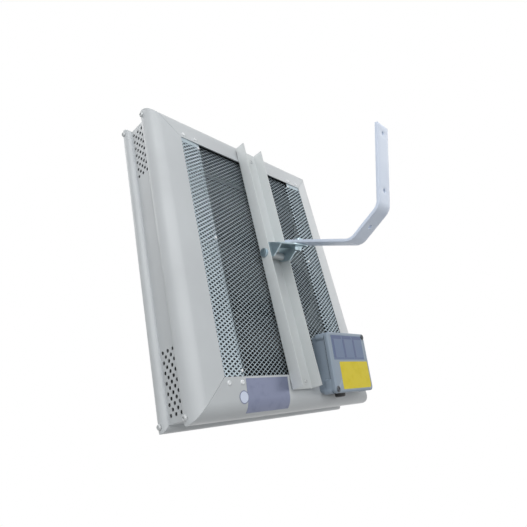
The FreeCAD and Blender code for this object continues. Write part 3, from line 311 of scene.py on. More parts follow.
@dataclass(frozen=True)
class Grained(Finish):
    """A finish whose layers bring in a second colour, dull the surface and roughen it."""

    second: Colour
    roughness: float

    def layers(self) -> tuple[Layer, ...]:
        """Give the layers."""
        raise NotImplementedError

    def constants(self) -> dict[str, float]:
        """Give the sockets that are the same all over."""
        return {}

    def make(self) -> Material:
        """Build the material: what the layers do is added up.

        Returns:
            The material.
        """
        shader = Shader(self.name)
        sockets: dict[str, Any] = self.constants()
        share, rough = 0.0, self.roughness
        for layer in self.layers():
            pattern = layer.pattern(shader)
            if layer.tint:
                share = share + pattern * layer.tint
            if layer.dulling:
                rough = rough + (pattern - layer.middle) * layer.dulling
            if layer.height:
                sockets["Normal"] = shader.bump(pattern, layer.height, layer.strength)
        sockets["Base Color"] = shader.mix(share, self.colour, self.second)
        sockets["Roughness"] = rough
        return shader.surface(sockets)


@dataclass(frozen=True)
class PowderCoat(Grained):
    """Baked paint with specks and a fine orange-peel skin, dusty in patches."""

    coat: float = 0.12
    coat_roughness: float = 0.25

    def layers(self) -> tuple[Layer, ...]:
        """Dusty patches, specks and the skin."""
        return (Layer(9.0, 4.0, window=(0.42, 0.72), tint=0.55, dulling=0.08),
                Layer(2600.0, 1.0, window=(0.62, 0.74), tint=0.12),
                Layer(900.0, dulling=0.08, middle=0.5, height=0.00007, strength=0.5))

    def constants(self) -> dict[str, float]:
        """A thin clear coat."""
        return {"Coat Weight": self.coat, "Coat Roughness": self.coat_roughness}


@dataclass(frozen=True)
class Galvanised(Grained):
    """Zinc-dipped sheet with crystal spangle, dulled in places."""

    spangle: float = 160.0
    metallic: float = 0.85

    def layers(self) -> tuple[Layer, ...]:
        """Crystals and wear."""
        return (Layer(self.spangle, cells=True, tint=0.5, dulling=0.12),
                Layer(60.0, 4.0, tint=0.4, dulling=0.1, height=0.0002, strength=0.3))

    def constants(self) -> dict[str, float]:
        """Metal under a dull skin."""
        return {"Metallic": self.metallic}


@dataclass(frozen=True)
class Plated(Grained):
    """Bright plated steel, drawn along one axis and lightly clouded."""

    drawn: Colour = EVEN

    def layers(self) -> tuple[Layer, ...]:
        """Clouds and drawing lines."""
        return (Layer(45.0, 3.0, window=(0.35, 0.7), tint=0.7, dulling=0.1),
                Layer(900.0, drawn=self.drawn, tint=0.15, dulling=0.16, middle=0.5, height=0.00006,
                      strength=0.4))

    def constants(self) -> dict[str, float]:
        """Bare metal."""
        return {"Metallic": 1.0}


@dataclass(frozen=True)
class Reflecting(Grained):
    """Bright anodised sheet rolled along its length, with a faint bluish cast where it has been hot."""

    metallic: float = 0.95

    def layers(self) -> tuple[Layer, ...]:
        """The cast and rolling lines."""
        return (Layer(14.0, 3.0, window=(0.45, 0.8), tint=0.4),
                Layer(1200.0, drawn=(0.01, 1.0, 1.0), tint=0.12, dulling=0.14, height=0.00005, strength=0.4))

    def constants(self) -> dict[str, float]:
        """Metal under its oxide."""
        return {"Metallic": self.metallic}


@dataclass(frozen=True)
class Moulded(Grained):
    """Moulded plastic, rubber or ceramic with a fine grain and faint flow marks."""

    grain: float = 1500.0
    grain_height: float = 0.00008

    def layers(self) -> tuple[Layer, ...]:
        """Flow marks and the grain."""
        return (Layer(24.0, 3.0, drawn=(1.0, 1.0, 0.3), tint=0.6, dulling=0.06),
                Layer(self.grain, tint=0.2, dulling=0.2, middle=0.5, height=self.grain_height, strength=0.5))


@dataclass(frozen=True)
class Film(Grained):
    """Thin blank film or foil stuck on a surface: slightly wavy, rubbed in places."""

    metallic: float = 0.0

    def layers(self) -> tuple[Layer, ...]:
        """Rubbed places and waves."""
        return (Layer(70.0, 5.0, window=(0.5, 0.75), tint=0.6, dulling=0.15),
                Layer(40.0, 1.0, height=0.0006, strength=0.25))

    def constants(self) -> dict[str, float]:
        """Metal in a foil."""
        return {"Metallic": self.metallic}


@dataclass(frozen=True)
class Quartz(Finish):
    """Clear fused quartz with faint drawing lines along the tube."""

    roughness: float = 0.03
    clearness: float = 0.92
    bending: float = 1.46
    lines: Layer = Layer(700.0, drawn=(0.02, 1.0, 1.0), dulling=0.06)

    def make(self) -> Material:
        """Build the material.

        Returns:
            The material.
        """
        shader = Shader(self.name)
        return shader.surface({
            "Base Color": self.colour,
            "Roughness": self.roughness + self.lines.pattern(shader) * self.lines.dulling,
            "IOR": self.bending,
            "Transmission Weight": self.clearness,
        })


@dataclass(frozen=True)
class Sleeve(Finish):
    """Woven glass sleeving or wire gauze: the product of two crossing sets of sine waves, with the gaps
    between the strands in a darker colour that is painted shade.
    """

    gap_shade: Colour
    pitch: float = 0.0022
    roughness: float = 0.9
    strand_gloss: float = 0.15
    strand_height: float = 0.0004

    def make(self) -> Material:
        """Build the material.

        Returns:
            The material.
        """
        shader = Shader(self.name)
        turn = 2 * math.pi / self.pitch
        along = shader.axis("Z") + shader.axis("X")
        across = shader.axis("Y") + shader.axis("X")
        weave = ((along + across) * turn).sine() * ((along - across) * turn).sine()
        strands = weave * 0.5 + 0.5
        return shader.surface({
            # Between the strands the darker gap colour is painted shade.
            "Base Color": shader.mix(strands, self.gap_shade, self.colour),
            "Roughness": self.roughness - strands * self.strand_gloss,
            "Normal": shader.bump(strands, self.strand_height, strength=0.6),
        })


@dataclass(frozen=True)
class PaleFloor(Finish):
    """Matt pale floor that keeps a part of its shading, for shadows, and fades to white towards its edge."""

    worn: Colour
    radius: float = 2.2
    white: float = 0.82
    fade_end: float = 0.9
    roughness: float = 0.75
    patches: Layer = Layer(1.2, 4.0, dulling=0.1)

    def make(self) -> Material:
        """Build the material.

        Returns:
            The material.
        """
        shader = Shader(self.name)
        patches = self.patches.pattern(shader)
        matt = shader.gloss({"Base Color": shader.mix(patches, self.colour, self.worn),
                             "Roughness": self.roughness + patches * self.patches.dulling})
        along, across = shader.axis("X"), shader.axis("Y")
        outward = (along * along + across * across) * (1 / self.radius ** 2)
        share = shader.ramp(outward, start=0.0, stop=self.fade_end, low=self.white)
        return shader.end(shader.blend(shader.seen() * share, matt, shader.glow("ShaderNodeEmission", 1.0)))


PAINT = PowderCoat("case_paint", srgb(197, 202, 205), srgb(186, 190, 193), 0.36)
# The case paint made paler for the channel: painted light that makes up for the shade between its flanges.
CHANNEL_PAINT_LIT = PowderCoat("channel_paint_lit", srgb(209, 214, 215), srgb(198, 202, 203), 0.34)
# Whiter paint for screw heads and rivets: partly their own paint, partly a painted highlight on their small
# domes.
HEAD_PAINT_AND_HIGHLIGHT = PowderCoat("head_paint_and_highlight", srgb(240, 243, 245), srgb(230, 233, 235), 0.32)
STRAP_PAINT = PowderCoat("strap_paint", srgb(222, 233, 250), srgb(209, 221, 240), 0.4)
# Near-black backs of the troughs: partly a dark coat, partly painted shade for the dark inside seen through
# the rear mesh.
TROUGH_BACK_SHADE = PowderCoat("trough_back_shade", srgb(18, 20, 22), srgb(30, 32, 34), 0.66)
# Dark grey inner side of the rails: painted shade for the shaded inside of the case.
CASE_INSIDE_SHADE = PowderCoat("case_inside_shade", srgb(58, 60, 62), srgb(46, 48, 50), 0.6)
GALVANISED = Galvanised("galvanised", srgb(214, 220, 221), srgb(168, 176, 180), 0.34)
MESH_METAL = Galvanised("mesh_metal", srgb(194, 207, 214), srgb(156, 170, 178), 0.48,
                        spangle=420.0, metallic=0.4)
DULL_ZINC = Galvanised("dull_zinc", srgb(206, 209, 210), srgb(176, 180, 182), 0.4,
                       spangle=700.0, metallic=0.4)
ZINC = Plated("zinc", srgb(190, 206, 212), srgb(150, 169, 180), 0.28)
BOX_ZINC = Plated("box_screw_zinc", srgb(208, 214, 220), srgb(176, 186, 194), 0.24)
GUARD_WIRE = Plated("guard_wire", srgb(226, 228, 230), srgb(196, 200, 204), 0.16, drawn=(1.0, 1.0, 0.05))
FILAMENT = Plated("filament", srgb(132, 128, 124), srgb(92, 86, 82), 0.35)
BOX_PLASTIC = Moulded("box_plastic", srgb(150, 165, 180), srgb(133, 146, 160), 0.46)
BLACK_PLASTIC = Moulded("black_plastic", srgb(30, 30, 33), srgb(18, 18, 20), 0.4)
TERMINAL = Moulded("terminal_white", srgb(236, 236, 232), srgb(222, 222, 216), 0.4)
CERAMIC = Moulded("ceramic", srgb(238, 234, 222), srgb(222, 214, 198), 0.6,
                  grain=700.0, grain_height=0.00012)
RUBBER = Moulded("rubber", srgb(40, 40, 41), srgb(28, 28, 29), 0.62)
QUARTZ = Quartz("quartz", srgb(244, 248, 249))
LOOM = Sleeve("loom_sleeve", srgb(228, 224, 210), srgb(176, 168, 150))
# Near-black gauze behind the vents, painted shade for the dark space behind them.
GAUZE_SHADE = Sleeve("vent_gauze_shade", srgb(46, 48, 50), srgb(10, 11, 12), pitch=0.0018)
REFLECTOR = Reflecting("reflector", srgb(206, 210, 213), srgb(172, 181, 196), 0.16)
YELLOW_FILM = Film("yellow_film", srgb(222, 202, 8), srgb(208, 188, 16), 0.5)
PANEL_FILM = Film("panel_film", srgb(102, 120, 150), srgb(112, 130, 160), 0.46)
FRAME_FILM = Film("frame_film", srgb(78, 94, 132), srgb(90, 106, 142), 0.46)
FOIL = Film("plate_foil", srgb(128, 135, 160), srgb(112, 119, 144), 0.34, metallic=0.45)
WHITE_FILM = Film("white_film", srgb(214, 223, 242), srgb(202, 212, 231), 0.4)
FLOOR = PaleFloor("floor", srgb(238, 238, 238), srgb(232, 232, 232))


@cache
def material_of(finish: Finish) -> Material:
    """Make each finish's material once."""
    return finish.make()


# Places

NEARLY_UPRIGHT = 0.9


@dataclass(frozen=True)
class Place:
    """A frame in the row: an origin in metres and its three axes as the columns of a matrix."""

    origin: np.ndarray
    axes: np.ndarray

    def put(self, points: np.ndarray) -> np.ndarray:
        """Turn millimetre points of this frame into metres in the row."""
        return self.origin + MM * np.asarray(points, float) @ self.axes.T

    def at(self, spot: Spot, axes: np.ndarray | None = None) -> "Place":
        """Give a frame inside this one, at a spot in millimetres, with the same axes or with others."""
        inner = np.eye(3) if axes is None else axes
        return Place(self.put(spot), self.axes @ inner)


def turn_x(degrees: float) -> np.ndarray:
    """Matrix of a turn about x."""
    cosine, sine = math.cos(math.radians(degrees)), math.sin(math.radians(degrees))
    return np.array([[1, 0, 0], [0, cosine, -sine], [0, sine, cosine]])


def unit(vectors: np.ndarray) -> np.ndarray:
    """Bring vectors, which lie along the last axis, to a length of one."""
    return vectors / np.linalg.norm(vectors, axis=-1, keepdims=True)


def facing(direction: Spot) -> np.ndarray:
    """Axes whose z points along a direction.

    Args:
        direction: The direction.

    Returns:
        The axes as columns.
    """
    z = unit(np.asarray(direction, float))
    hint = np.eye(3)[2 if abs(z[2]) < NEARLY_UPRIGHT else 0]
    x = unit(np.cross(hint, z))
    return np.stack([x, np.cross(z, x), z], 1)


def joint_named(name: str) -> dict[str, Any]:
    """Give one of the frame's joints."""
    return next(joint for joint in frame["joints"] if joint["name"] == name)


ACROSS = facing((1, 0, 0))
REARWARDS = facing((0, 1, 0))
PIVOT_IN_HEATER = (0.0, 12.0, 4.0)
TILT = -joint_named("tilt")["range_deg"][0]
PIVOT = Place(np.array(joint_named("tilt")["pos_m"]), turn_x(TILT))
HEATER = PIVOT.at([-part for part in PIVOT_IN_HEATER])
SWIVEL_AXIS = joint_named("swivel")["axis"]
ARM_RISE = math.degrees(math.atan2(SWIVEL_AXIS[1], SWIVEL_AXIS[2]))
ARM = Place(np.array(joint_named("swivel")["pos_m"]), turn_x(-ARM_RISE))
ROW = Place(np.zeros(3), np.eye(3))


# Surfaces

WELD = 0.001
CELL_STEPS = 4
ROUND_SIDES = 40


class Shell:
    """Points and arrays of faces, each array with its own count of corners, before they become a mesh."""

    def __init__(self, points: np.ndarray, *faces: np.ndarray) -> None:
        """Keep points as rows of three and faces as rows of corner numbers."""
        self.points = np.asarray(points, float).reshape(-1, 3)
        self.faces = list(faces)

    def placed(self, place: Place) -> "Shell":
        """Give the shell in metres in the row."""
        return Shell(place.put(self.points), *self.faces)

    def flipped(self) -> "Shell":
        """Turn all faces round."""
        self.faces = [faces[:, ::-1] for faces in self.faces]
        return self

    def turned_out(self, inside: Spot) -> "Shell":
        """Turn the faces away from an inner point, going by the sum over all faces.

        Args:
            inside: The inner point.

        Returns:
            The shell.
        """
        total = 0.0
        for faces in self.faces:
            corners = self.points[faces]
            normals = np.cross(corners[:, 1] - corners[:, 0], corners[:, 2] - corners[:, 0])
            total += float(np.sum(normals * (corners.mean(1) - np.asarray(inside, float))))
        return self.flipped() if total < 0 else self

    def fanned(self, ring: np.ndarray, hub: Spot) -> "Shell":
        """Close a ring of points by triangles to a hub.

        Args:
            ring: Numbers of the ring's points, in the order of a grid's last row.
            hub: Place of the hub.

        Returns:
            The shell.
        """
        self.points = np.concatenate([self.points, [hub]])
        middle = np.full(len(ring), len(self.points) - 1)
        self.faces.append(np.stack([ring, middle, np.roll(ring, -1)], 1))
        return self

    def welded(self) -> "Shell":
        """Give the shell with the points joined that lie together.

        Returns:
            The welded shell.
        """
        _, first, back = np.unique(np.round(self.points / WELD).astype(np.int64), axis=0,
                                   return_index=True, return_inverse=True)
        return Shell(self.points[first], *[back.ravel()[faces] for faces in self.faces])


def united(shells: Sequence[Shell]) -> Shell:
    """Join shells into one.

    Args:
        shells: The shells.

    Returns:
        The whole.
    """
    starts = np.cumsum([0] + [len(shell.points) for shell in shells])
    faces = [part + start for shell, start in zip(shells, starts) for part in shell.faces]
    return Shell(np.concatenate([shell.points for shell in shells]), *faces)


def grid_faces(rows: int, columns: int, closed_rows: bool = False,
               closed_columns: bool = False) -> np.ndarray:
    """Four-cornered faces of a grid whose points run along its columns first.

    Args:
        rows: Rows of points.
        columns: Points in a row.
        closed_rows: Whether the last row joins the first.
        closed_columns: Whether a row's last point joins its first.

    Returns:
        One row of four point numbers for each face.
    """
    numbers = np.arange(rows * columns).reshape(rows, columns)
    if closed_rows:
        numbers = np.concatenate([numbers, numbers[:1]])
    if closed_columns:
        numbers = np.concatenate([numbers, numbers[:, :1]], 1)
    corners = [numbers[:-1, :-1], numbers[1:, :-1], numbers[1:, 1:], numbers[:-1, 1:]]
    return np.stack(corners, -1).reshape(-1, 4)


def grid(points: np.ndarray, closed_rows: bool = False, closed_columns: bool = False) -> Shell:
    """Shell of a grid of points, which may close on itself along its rows or columns."""
    return Shell(points, grid_faces(*points.shape[:2], closed_rows, closed_columns))


def arc(middle: Spot, radius: float, start: float, stop: float, steps: int) -> np.ndarray:
    """Points of an arc in a plane, from one angle in degrees to another."""
    turn = np.radians(np.linspace(start, stop, steps + 1))
    return np.stack([middle[0] + radius * np.cos(turn), middle[1] + radius * np.sin(turn)], 1)


def rounded_rectangle(width: float, height: float, radius: float, steps: int) -> np.ndarray:
    """Outline of a rectangle about the origin with round corners, anticlockwise from the lower right.

    Args:
        width: Its width.
        height: Its height.
        radius: Radius of its corners.
        steps: Steps round a corner.

    Returns:
        The points in the plane.
    """
    side, end = width / 2 - radius, height / 2 - radius
    corners = [((side, -end), -90), ((side, end), 0), ((-side, end), 90), ((-side, -end), 180)]
    return np.concatenate([arc(middle, radius, turn, turn + 90, steps) for middle, turn in corners])


def carried(line: np.ndarray, run: np.ndarray, axis: int) -> np.ndarray:
    """Points of a section line carried along an axis.

    Args:
        line: The section's points, in the two other coordinates.
        run: Places along the axis, one for each row or one for each row and point.
        axis: Number of the axis.

    Returns:
        A grid with one row of points for each place.
    """
    run = np.asarray(run, float).reshape(len(run), -1)
    spread = np.broadcast_to(line, (len(run), *line.shape))
    return np.insert(spread, axis, np.broadcast_to(run, spread.shape[:2]), axis=-1)


def turns(sides: int) -> np.ndarray:
    """Angles of so many points round a circle."""
    return np.linspace(0, 2 * math.pi, sides, endpoint=False)


def lathe(profile: Profile, sides: int = 32, reach: np.ndarray | None = None,
          closed: bool = False) -> Shell:
    """Turn a profile about z: point (radius, height) at turn t lies at (radius cos t, radius sin t, height).

    An end of the profile on the axis becomes a pole, closed by a fan.

    Args:
        profile: Radius and height along the outline.
        sides: Points round the axis.
        reach: Share of the radius to keep, for each point of the profile and each turn.
        closed: Whether the profile's end joins its start.

    Returns:
        The turned shell.
    """
    spots = np.asarray(profile, float)
    first, last = int(spots[0, 0] == 0), len(spots) - int(spots[-1, 0] == 0)
    turn = turns(sides)
    wide = spots[first:last, :1] * (np.ones(sides) if reach is None else reach[first:last])
    points = np.stack([wide * np.cos(turn), wide * np.sin(turn), spots[first:last, 1:] + 0 * wide], -1)
    shell = grid(points, closed, True)
    ring = np.arange(sides)
    if first:
        shell.fanned(ring[::-1], (0, 0, spots[0, 1]))
    if last < len(spots):
        shell.fanned(ring + (last - first - 1) * sides, (0, 0, spots[-1, 1]))
    return shell.turned_out((0, 0, spots[:, 1].mean()))


def hoop(bore: float, radius: float, low: float, high: float, inset: float = 0.0, rise: float = 0.0) -> Shell:
    """Turned ring or pipe.

    Args:
        bore: Radius of its bore.
        radius: Its outer radius.
        low: Level of its lower end.
        high: Level of its upper end.
        inset: How far the bevels of its outer edges reach inwards.
        rise: How far those bevels reach along it.

    Returns:
        The ring.
    """
    wall = [(radius, low + rise), (radius, high - rise)]
    if inset:
        wall = [(radius - inset, low), *wall, (radius - inset, high)]
    return lathe([(bore, low), *wall, (bore, high)], ROUND_SIDES, closed=True)


def bar(rings: np.ndarray) -> Shell:
    """Closed bar through rows of rings, with a flat face at each end.

    Args:
        rings: Points as rings along the bar, points round a ring and three coordinates.

    Returns:
        The bar.
    """
    rows, columns = rings.shape[:2]
    ring = np.arange(columns)[None]
    made = grid(rings, closed_columns=True)
    made.faces += [ring, ring[:, ::-1] + (rows - 1) * columns]
    return made.turned_out(made.points.mean(0))


def tube(path: np.ndarray, width: float, sides: int, closed: bool = False) -> Shell:
    """Carry a circle along a path that lies in one plane or bends gently.

    Each ring stands on the path's tangent, its first axis square to a steady direction.

    Args:
        path: Points along the middle.
        width: Thickness of the tube.
        sides: Points round it.
        closed: Whether the path's end joins its start.

    Returns:
        The tube.
    """
    path = np.asarray(path, float)
    along = unit(np.roll(path, -1, 0) - np.roll(path, 1, 0) if closed else np.gradient(path, axis=0))
    steady = np.eye(3)[int(np.argmin(np.abs(along).max(0)))]
    first = unit(np.cross(along, steady))
    second = np.cross(first, along)
    turn = turns(sides)[None, :, None]
    rings = path[:, None] + (first[:, None] * np.cos(turn) + second[:, None] * np.sin(turn)) * width / 2
    return grid(rings, True, True) if closed else bar(rings)


def layered(outline: np.ndarray, profile: Profile, middle: Spot) -> Shell:
    """Carry a profile round an outline: each layer is the outline drawn in by an inset, at a height.

    A point's inset moves it towards the middle along x and y alike, which keeps round corners round enough
    for small insets. Fans to the middle close the first and the last layer.

    Args:
        outline: Points of the outline in its plane.
        profile: Inset and height of each layer.
        middle: Middle of the outline.

    Returns:
        The closed slab.
    """
    around = outline - np.asarray(middle, float)
    half = np.abs(around).max(0)
    layers = [np.insert(middle + around * (half - inset) / half, 2, height, axis=1)
              for inset, height in profile]
    slab = grid(np.stack(layers), closed_columns=True)
    ring = np.arange(len(around))
    slab.fanned(ring[::-1], (*middle, profile[0][1]))
    slab.fanned(ring + (len(layers) - 1) * len(around), (*middle, profile[-1][1]))
    return slab.turned_out((*middle, np.mean([height for _, height in profile])))


def holed_cell(low: Spot, high: Spot, radius: float) -> Shell:
    """Flat cell with a round hole in its middle: a ring from the cell's edge to the circle, point for point.

    Both the edge and the circle start at the lower left.

    Args:
        low: Low corner of the cell.
        high: High corner of the cell.
        radius: Radius of the hole.

    Returns:
        The cell, at a level of nought.
    """
    low, high = np.asarray(low, float), np.asarray(high, float)
    share, none, full = np.arange(CELL_STEPS) / CELL_STEPS, np.zeros(CELL_STEPS), np.ones(CELL_STEPS)
    square = np.stack([np.concatenate([share, full, 1 - share, none]),
                       np.concatenate([none, share, full, 1 - share])], 1)
    turn = turns(4 * CELL_STEPS) - math.radians(135)
    circle = (low + high) / 2 + radius * np.stack([np.cos(turn), np.sin(turn)], 1)
    rings = np.stack([low + square * (high - low), circle])
    return grid(np.insert(rings, 2, 0, axis=-1), closed_columns=True)


def plain_cell(low: Spot, high: Spot, across: int = 1, up: int = 1) -> Shell:
    """Flat cell as a plain grid.

    Args:
        low: Low corner of the cell.
        high: High corner of the cell.
        across: Faces across it.
        up: Faces up it.

    Returns:
        The cell, at a level of nought.
    """
    first = np.linspace(low[0], high[0], across + 1)
    second = np.linspace(low[1], high[1], up + 1)
    spread = np.stack(np.meshgrid(first, second), -1)
    return grid(np.insert(spread, 2, 0, axis=-1))


# Pieces

FLAT_ANGLE = 1.0


def linked(name: str, data: bpy.types.ID) -> bpy.types.Object:
    """Put a mesh, a light or a camera into the scene.

    Args:
        name: Name of the object.
        data: What it shows.

    Returns:
        The object, at the origin.
    """
    thing = bpy.data.objects.new(name, data)
    bpy.context.scene.collection.objects.link(thing)
    return thing


class Piece:
    """One finished object of the scene."""

    def __init__(self, name: str, shell: Shell, finish: Finish, slot: Slot | None = None, replaces: str = "",
                 body: Body = Body.HEATER, sharp: float = 35.0) -> None:
        """Turn a shell in row metres into an object, dress it and let it ride.

        Args:
            name: Name of the piece.
            shell: Its surface.
            finish: Its finish.
            slot: The record's slot for it; not used.
            replaces: The frame's node that it stands for.
            body: The body that it rides on.
            sharp: Angle between faces, in degrees, above which an edge stays sharp.
        """
        self.sharp = math.radians(sharp)
        mesh = bpy.data.meshes.new(name)
        corners = np.concatenate([faces.ravel() for faces in shell.faces])
        sizes = np.concatenate([np.full(len(faces), faces.shape[1]) for faces in shell.faces])
        mesh.vertices.add(len(shell.points))
        mesh.vertices.foreach_set("co", shell.points.astype(np.float32).ravel())
        mesh.loops.add(len(corners))
        mesh.loops.foreach_set("vertex_index", corners.astype(np.int32))
        mesh.polygons.add(len(sizes))
        mesh.polygons.foreach_set("loop_start", (np.cumsum(sizes) - sizes).astype(np.int32))
        mesh.update(calc_edges=True)
        mesh.validate()
        mesh.materials.append(material_of(finish))
        self.object = linked(name, mesh)
        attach(self.object, body.value)
        if replaces:
            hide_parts(replaces)
        self.smooth()
        log.info("%s: %d faces on %s", name, len(sizes), body.value)

    def smooth(self) -> "Piece":
        """Shade smoothly between sharp edges.

        Returns:
            The piece.
        """
        mesh = self.object.data
        mesh.polygons.foreach_set("use_smooth", np.ones(len(mesh.polygons), bool))
        mesh.set_sharp_from_angle(angle=self.sharp)
        return self

    def modified(self, kind: str, **settings: Any) -> "Piece":
        """Apply one modifier to the mesh for good.

        Args:
            kind: Blender's type of modifier.
            **settings: Its settings.

        Returns:
            The piece.
        """
        modifier = self.object.modifiers.new(kind.title(), kind)
        for key, setting in settings.items():
            setattr(modifier, key, setting)
        graph = bpy.context.evaluated_depsgraph_get()
        graph.update()
        made = bpy.data.meshes.new_from_object(self.object.evaluated_get(graph))
        self.object.modifiers.clear()
        old = self.object.data
        self.object.data = made
        bpy.data.meshes.remove(old)
        return self.smooth()

    def thickened(self, thickness: float, lining: Finish | None = None, offset: float = -1.0) -> "Piece":
        """Give a sheet its thickness.

        Args:
            thickness: Thickness in millimetres.
            lining: Finish of the inner side, if it is another one.
            offset: -1 to thicken inwards from the faces, 0 to thicken to both sides.

        Returns:
            The piece.
        """
        if lining:
            self.object.data.materials.append(material_of(lining))
        return self.modified("SOLIDIFY", thickness=thickness * MM, offset=offset, use_even_offset=True,
                             material_offset=int(lining is not None))

    def bevelled(self, width: float, angle: float) -> "Piece":
        """Round the edges that are sharper than an angle in degrees, over a width in millimetres."""
        return self.modified("BEVEL", width=width * MM, segments=2, limit_method="ANGLE",
                             angle_limit=math.radians(angle))

    def dissolved(self) -> "Piece":
        """Join the coplanar triangles of a copied node, so that its edges can be rounded.

        Returns:
            The piece.
        """
        flat = bmesh.new()
        flat.from_mesh(self.object.data)
        bmesh.ops.dissolve_limit(flat, angle_limit=math.radians(FLAT_ANGLE), verts=flat.verts,
                                 edges=flat.edges)
        flat.to_mesh(self.object.data)
        flat.free()
        return self.smooth()


def node_shell(node: str) -> Shell:
    """Copy a node's triangles with its doubled points merged.

    Args:
        node: Name of the node.

    Returns:
        The shell, in row metres.
    """
    flat = bmesh.new()
    flat.from_mesh(frame["nodes"][node].data)
    bmesh.ops.remove_doubles(flat, verts=flat.verts, dist=WELD * MM)
    mesh = bpy.data.meshes.new("copy")
    flat.to_mesh(mesh)
    flat.free()
    points = np.empty(len(mesh.vertices) * 3, np.float32)
    mesh.vertices.foreach_get("co", points)
    corners = np.empty(len(mesh.polygons) * 3, np.int32)
    mesh.polygons.foreach_get("vertices", corners)
    bpy.data.meshes.remove(mesh)
    return Shell(points, corners.reshape(-1, 3))


def dress_node(node: str, finish: Finish) -> None:
    """Give a node that is kept its finish.

    Args:
        node: Name of the node.
        finish: Its finish.
    """
    thing = frame["nodes"][node]
    thing.data.materials.clear()
    thing.data.materials.append(material_of(finish))
    log.info("%s: node kept", node)


# Case

@dataclass
class RailSection:
    """Section of the case's rails: how far out of the opening a point lies, and how far rearwards."""

    depth: float = 102.0
    reach: float = 56.5
    slope: float = 7.0
    bulge: float = 26.0
    tuck: float = 13.0
    waist_inset: float = 10.0
    nose_reach: float = 55.5
    nose: float = 11.0
    lip_inset: float = 20.0
    lip: float = 16.0
    lip_fold: float = 2.0
    steps: int = 12
    ahead: float = 0.5

    @property
    def bulge_level(self) -> float:
        """Level of the bulge's middle, where the sloping flange runs into it."""
        tilt = math.radians(self.slope)
        out = self.reach - self.bulge + self.bulge * math.sin(tilt)
        return -out * math.tan(tilt) - self.bulge * math.cos(tilt)

    @property
    def nose_level(self) -> float:
        """Level of the nose's middle."""
        return self.nose - self.depth

    @property
    def waist(self) -> tuple[float, float, float]:
        """The waist's reach and the levels of its rear and front edges."""
        out = self.reach - self.waist_inset
        rear = self.bulge_level - math.sqrt(self.tuck ** 2 - (out - self.reach + self.tuck) ** 2)
        front = self.nose_level + math.sqrt(self.nose ** 2 - (out - self.nose_reach + self.nose) ** 2)
        return out, rear, front

    def rear(self) -> np.ndarray:
        """Line from the opening over the flange, the bulge and the tuck to the waist.

        Returns:
            Reach and level of each point.
        """
        out, _, _ = self.waist
        bulge = arc((self.reach - self.bulge, self.bulge_level), self.bulge, 90 - self.slope, 0, self.steps)
        end = -math.degrees(math.acos((out - self.reach + self.tuck) / self.tuck))
        tuck = arc((self.reach - self.tuck, self.bulge_level), self.tuck, 0, end, self.steps)
        return np.concatenate([[(0.0, 0.0)], bulge, tuck[1:]])

    def front(self) -> np.ndarray:
        """Line from the waist round the nose and along the front to the inner lip.

        Returns:
            Reach and level of each point.
        """
        out, _, _ = self.waist
        middle = (self.nose_reach - self.nose, self.nose_level)
        start = math.degrees(math.acos((out - middle[0]) / self.nose))
        nose = arc(middle, self.nose, start, -90, 2 * self.steps)
        hub = (self.lip_inset + self.lip_fold, self.lip_fold - self.depth)
        fold = arc(hub, self.lip_fold, -90, -180, self.steps // 3)
        return np.concatenate([nose, fold, [(self.lip_inset, self.lip - self.depth)]])

    def along(self, length: np.ndarray, lift: float) -> np.ndarray:
        """Points on the rear line at lengths from the opening, lifted off the metal.

        Args:
            length: Lengths along the line.
            lift: How far off the metal.

        Returns:
            Reach and level of each point.
        """
        line = self.rear()
        run = np.concatenate([[0.0], np.cumsum(np.linalg.norm(np.diff(line, axis=0), axis=1))])
        spot, next_spot = [np.stack([np.interp(place, run, part) for part in line.T], -1)
                           for place in (length, length + self.ahead)]
        way = unit(next_spot - spot)
        return spot + lift * np.stack([-way[..., 1], way[..., 0]], -1)


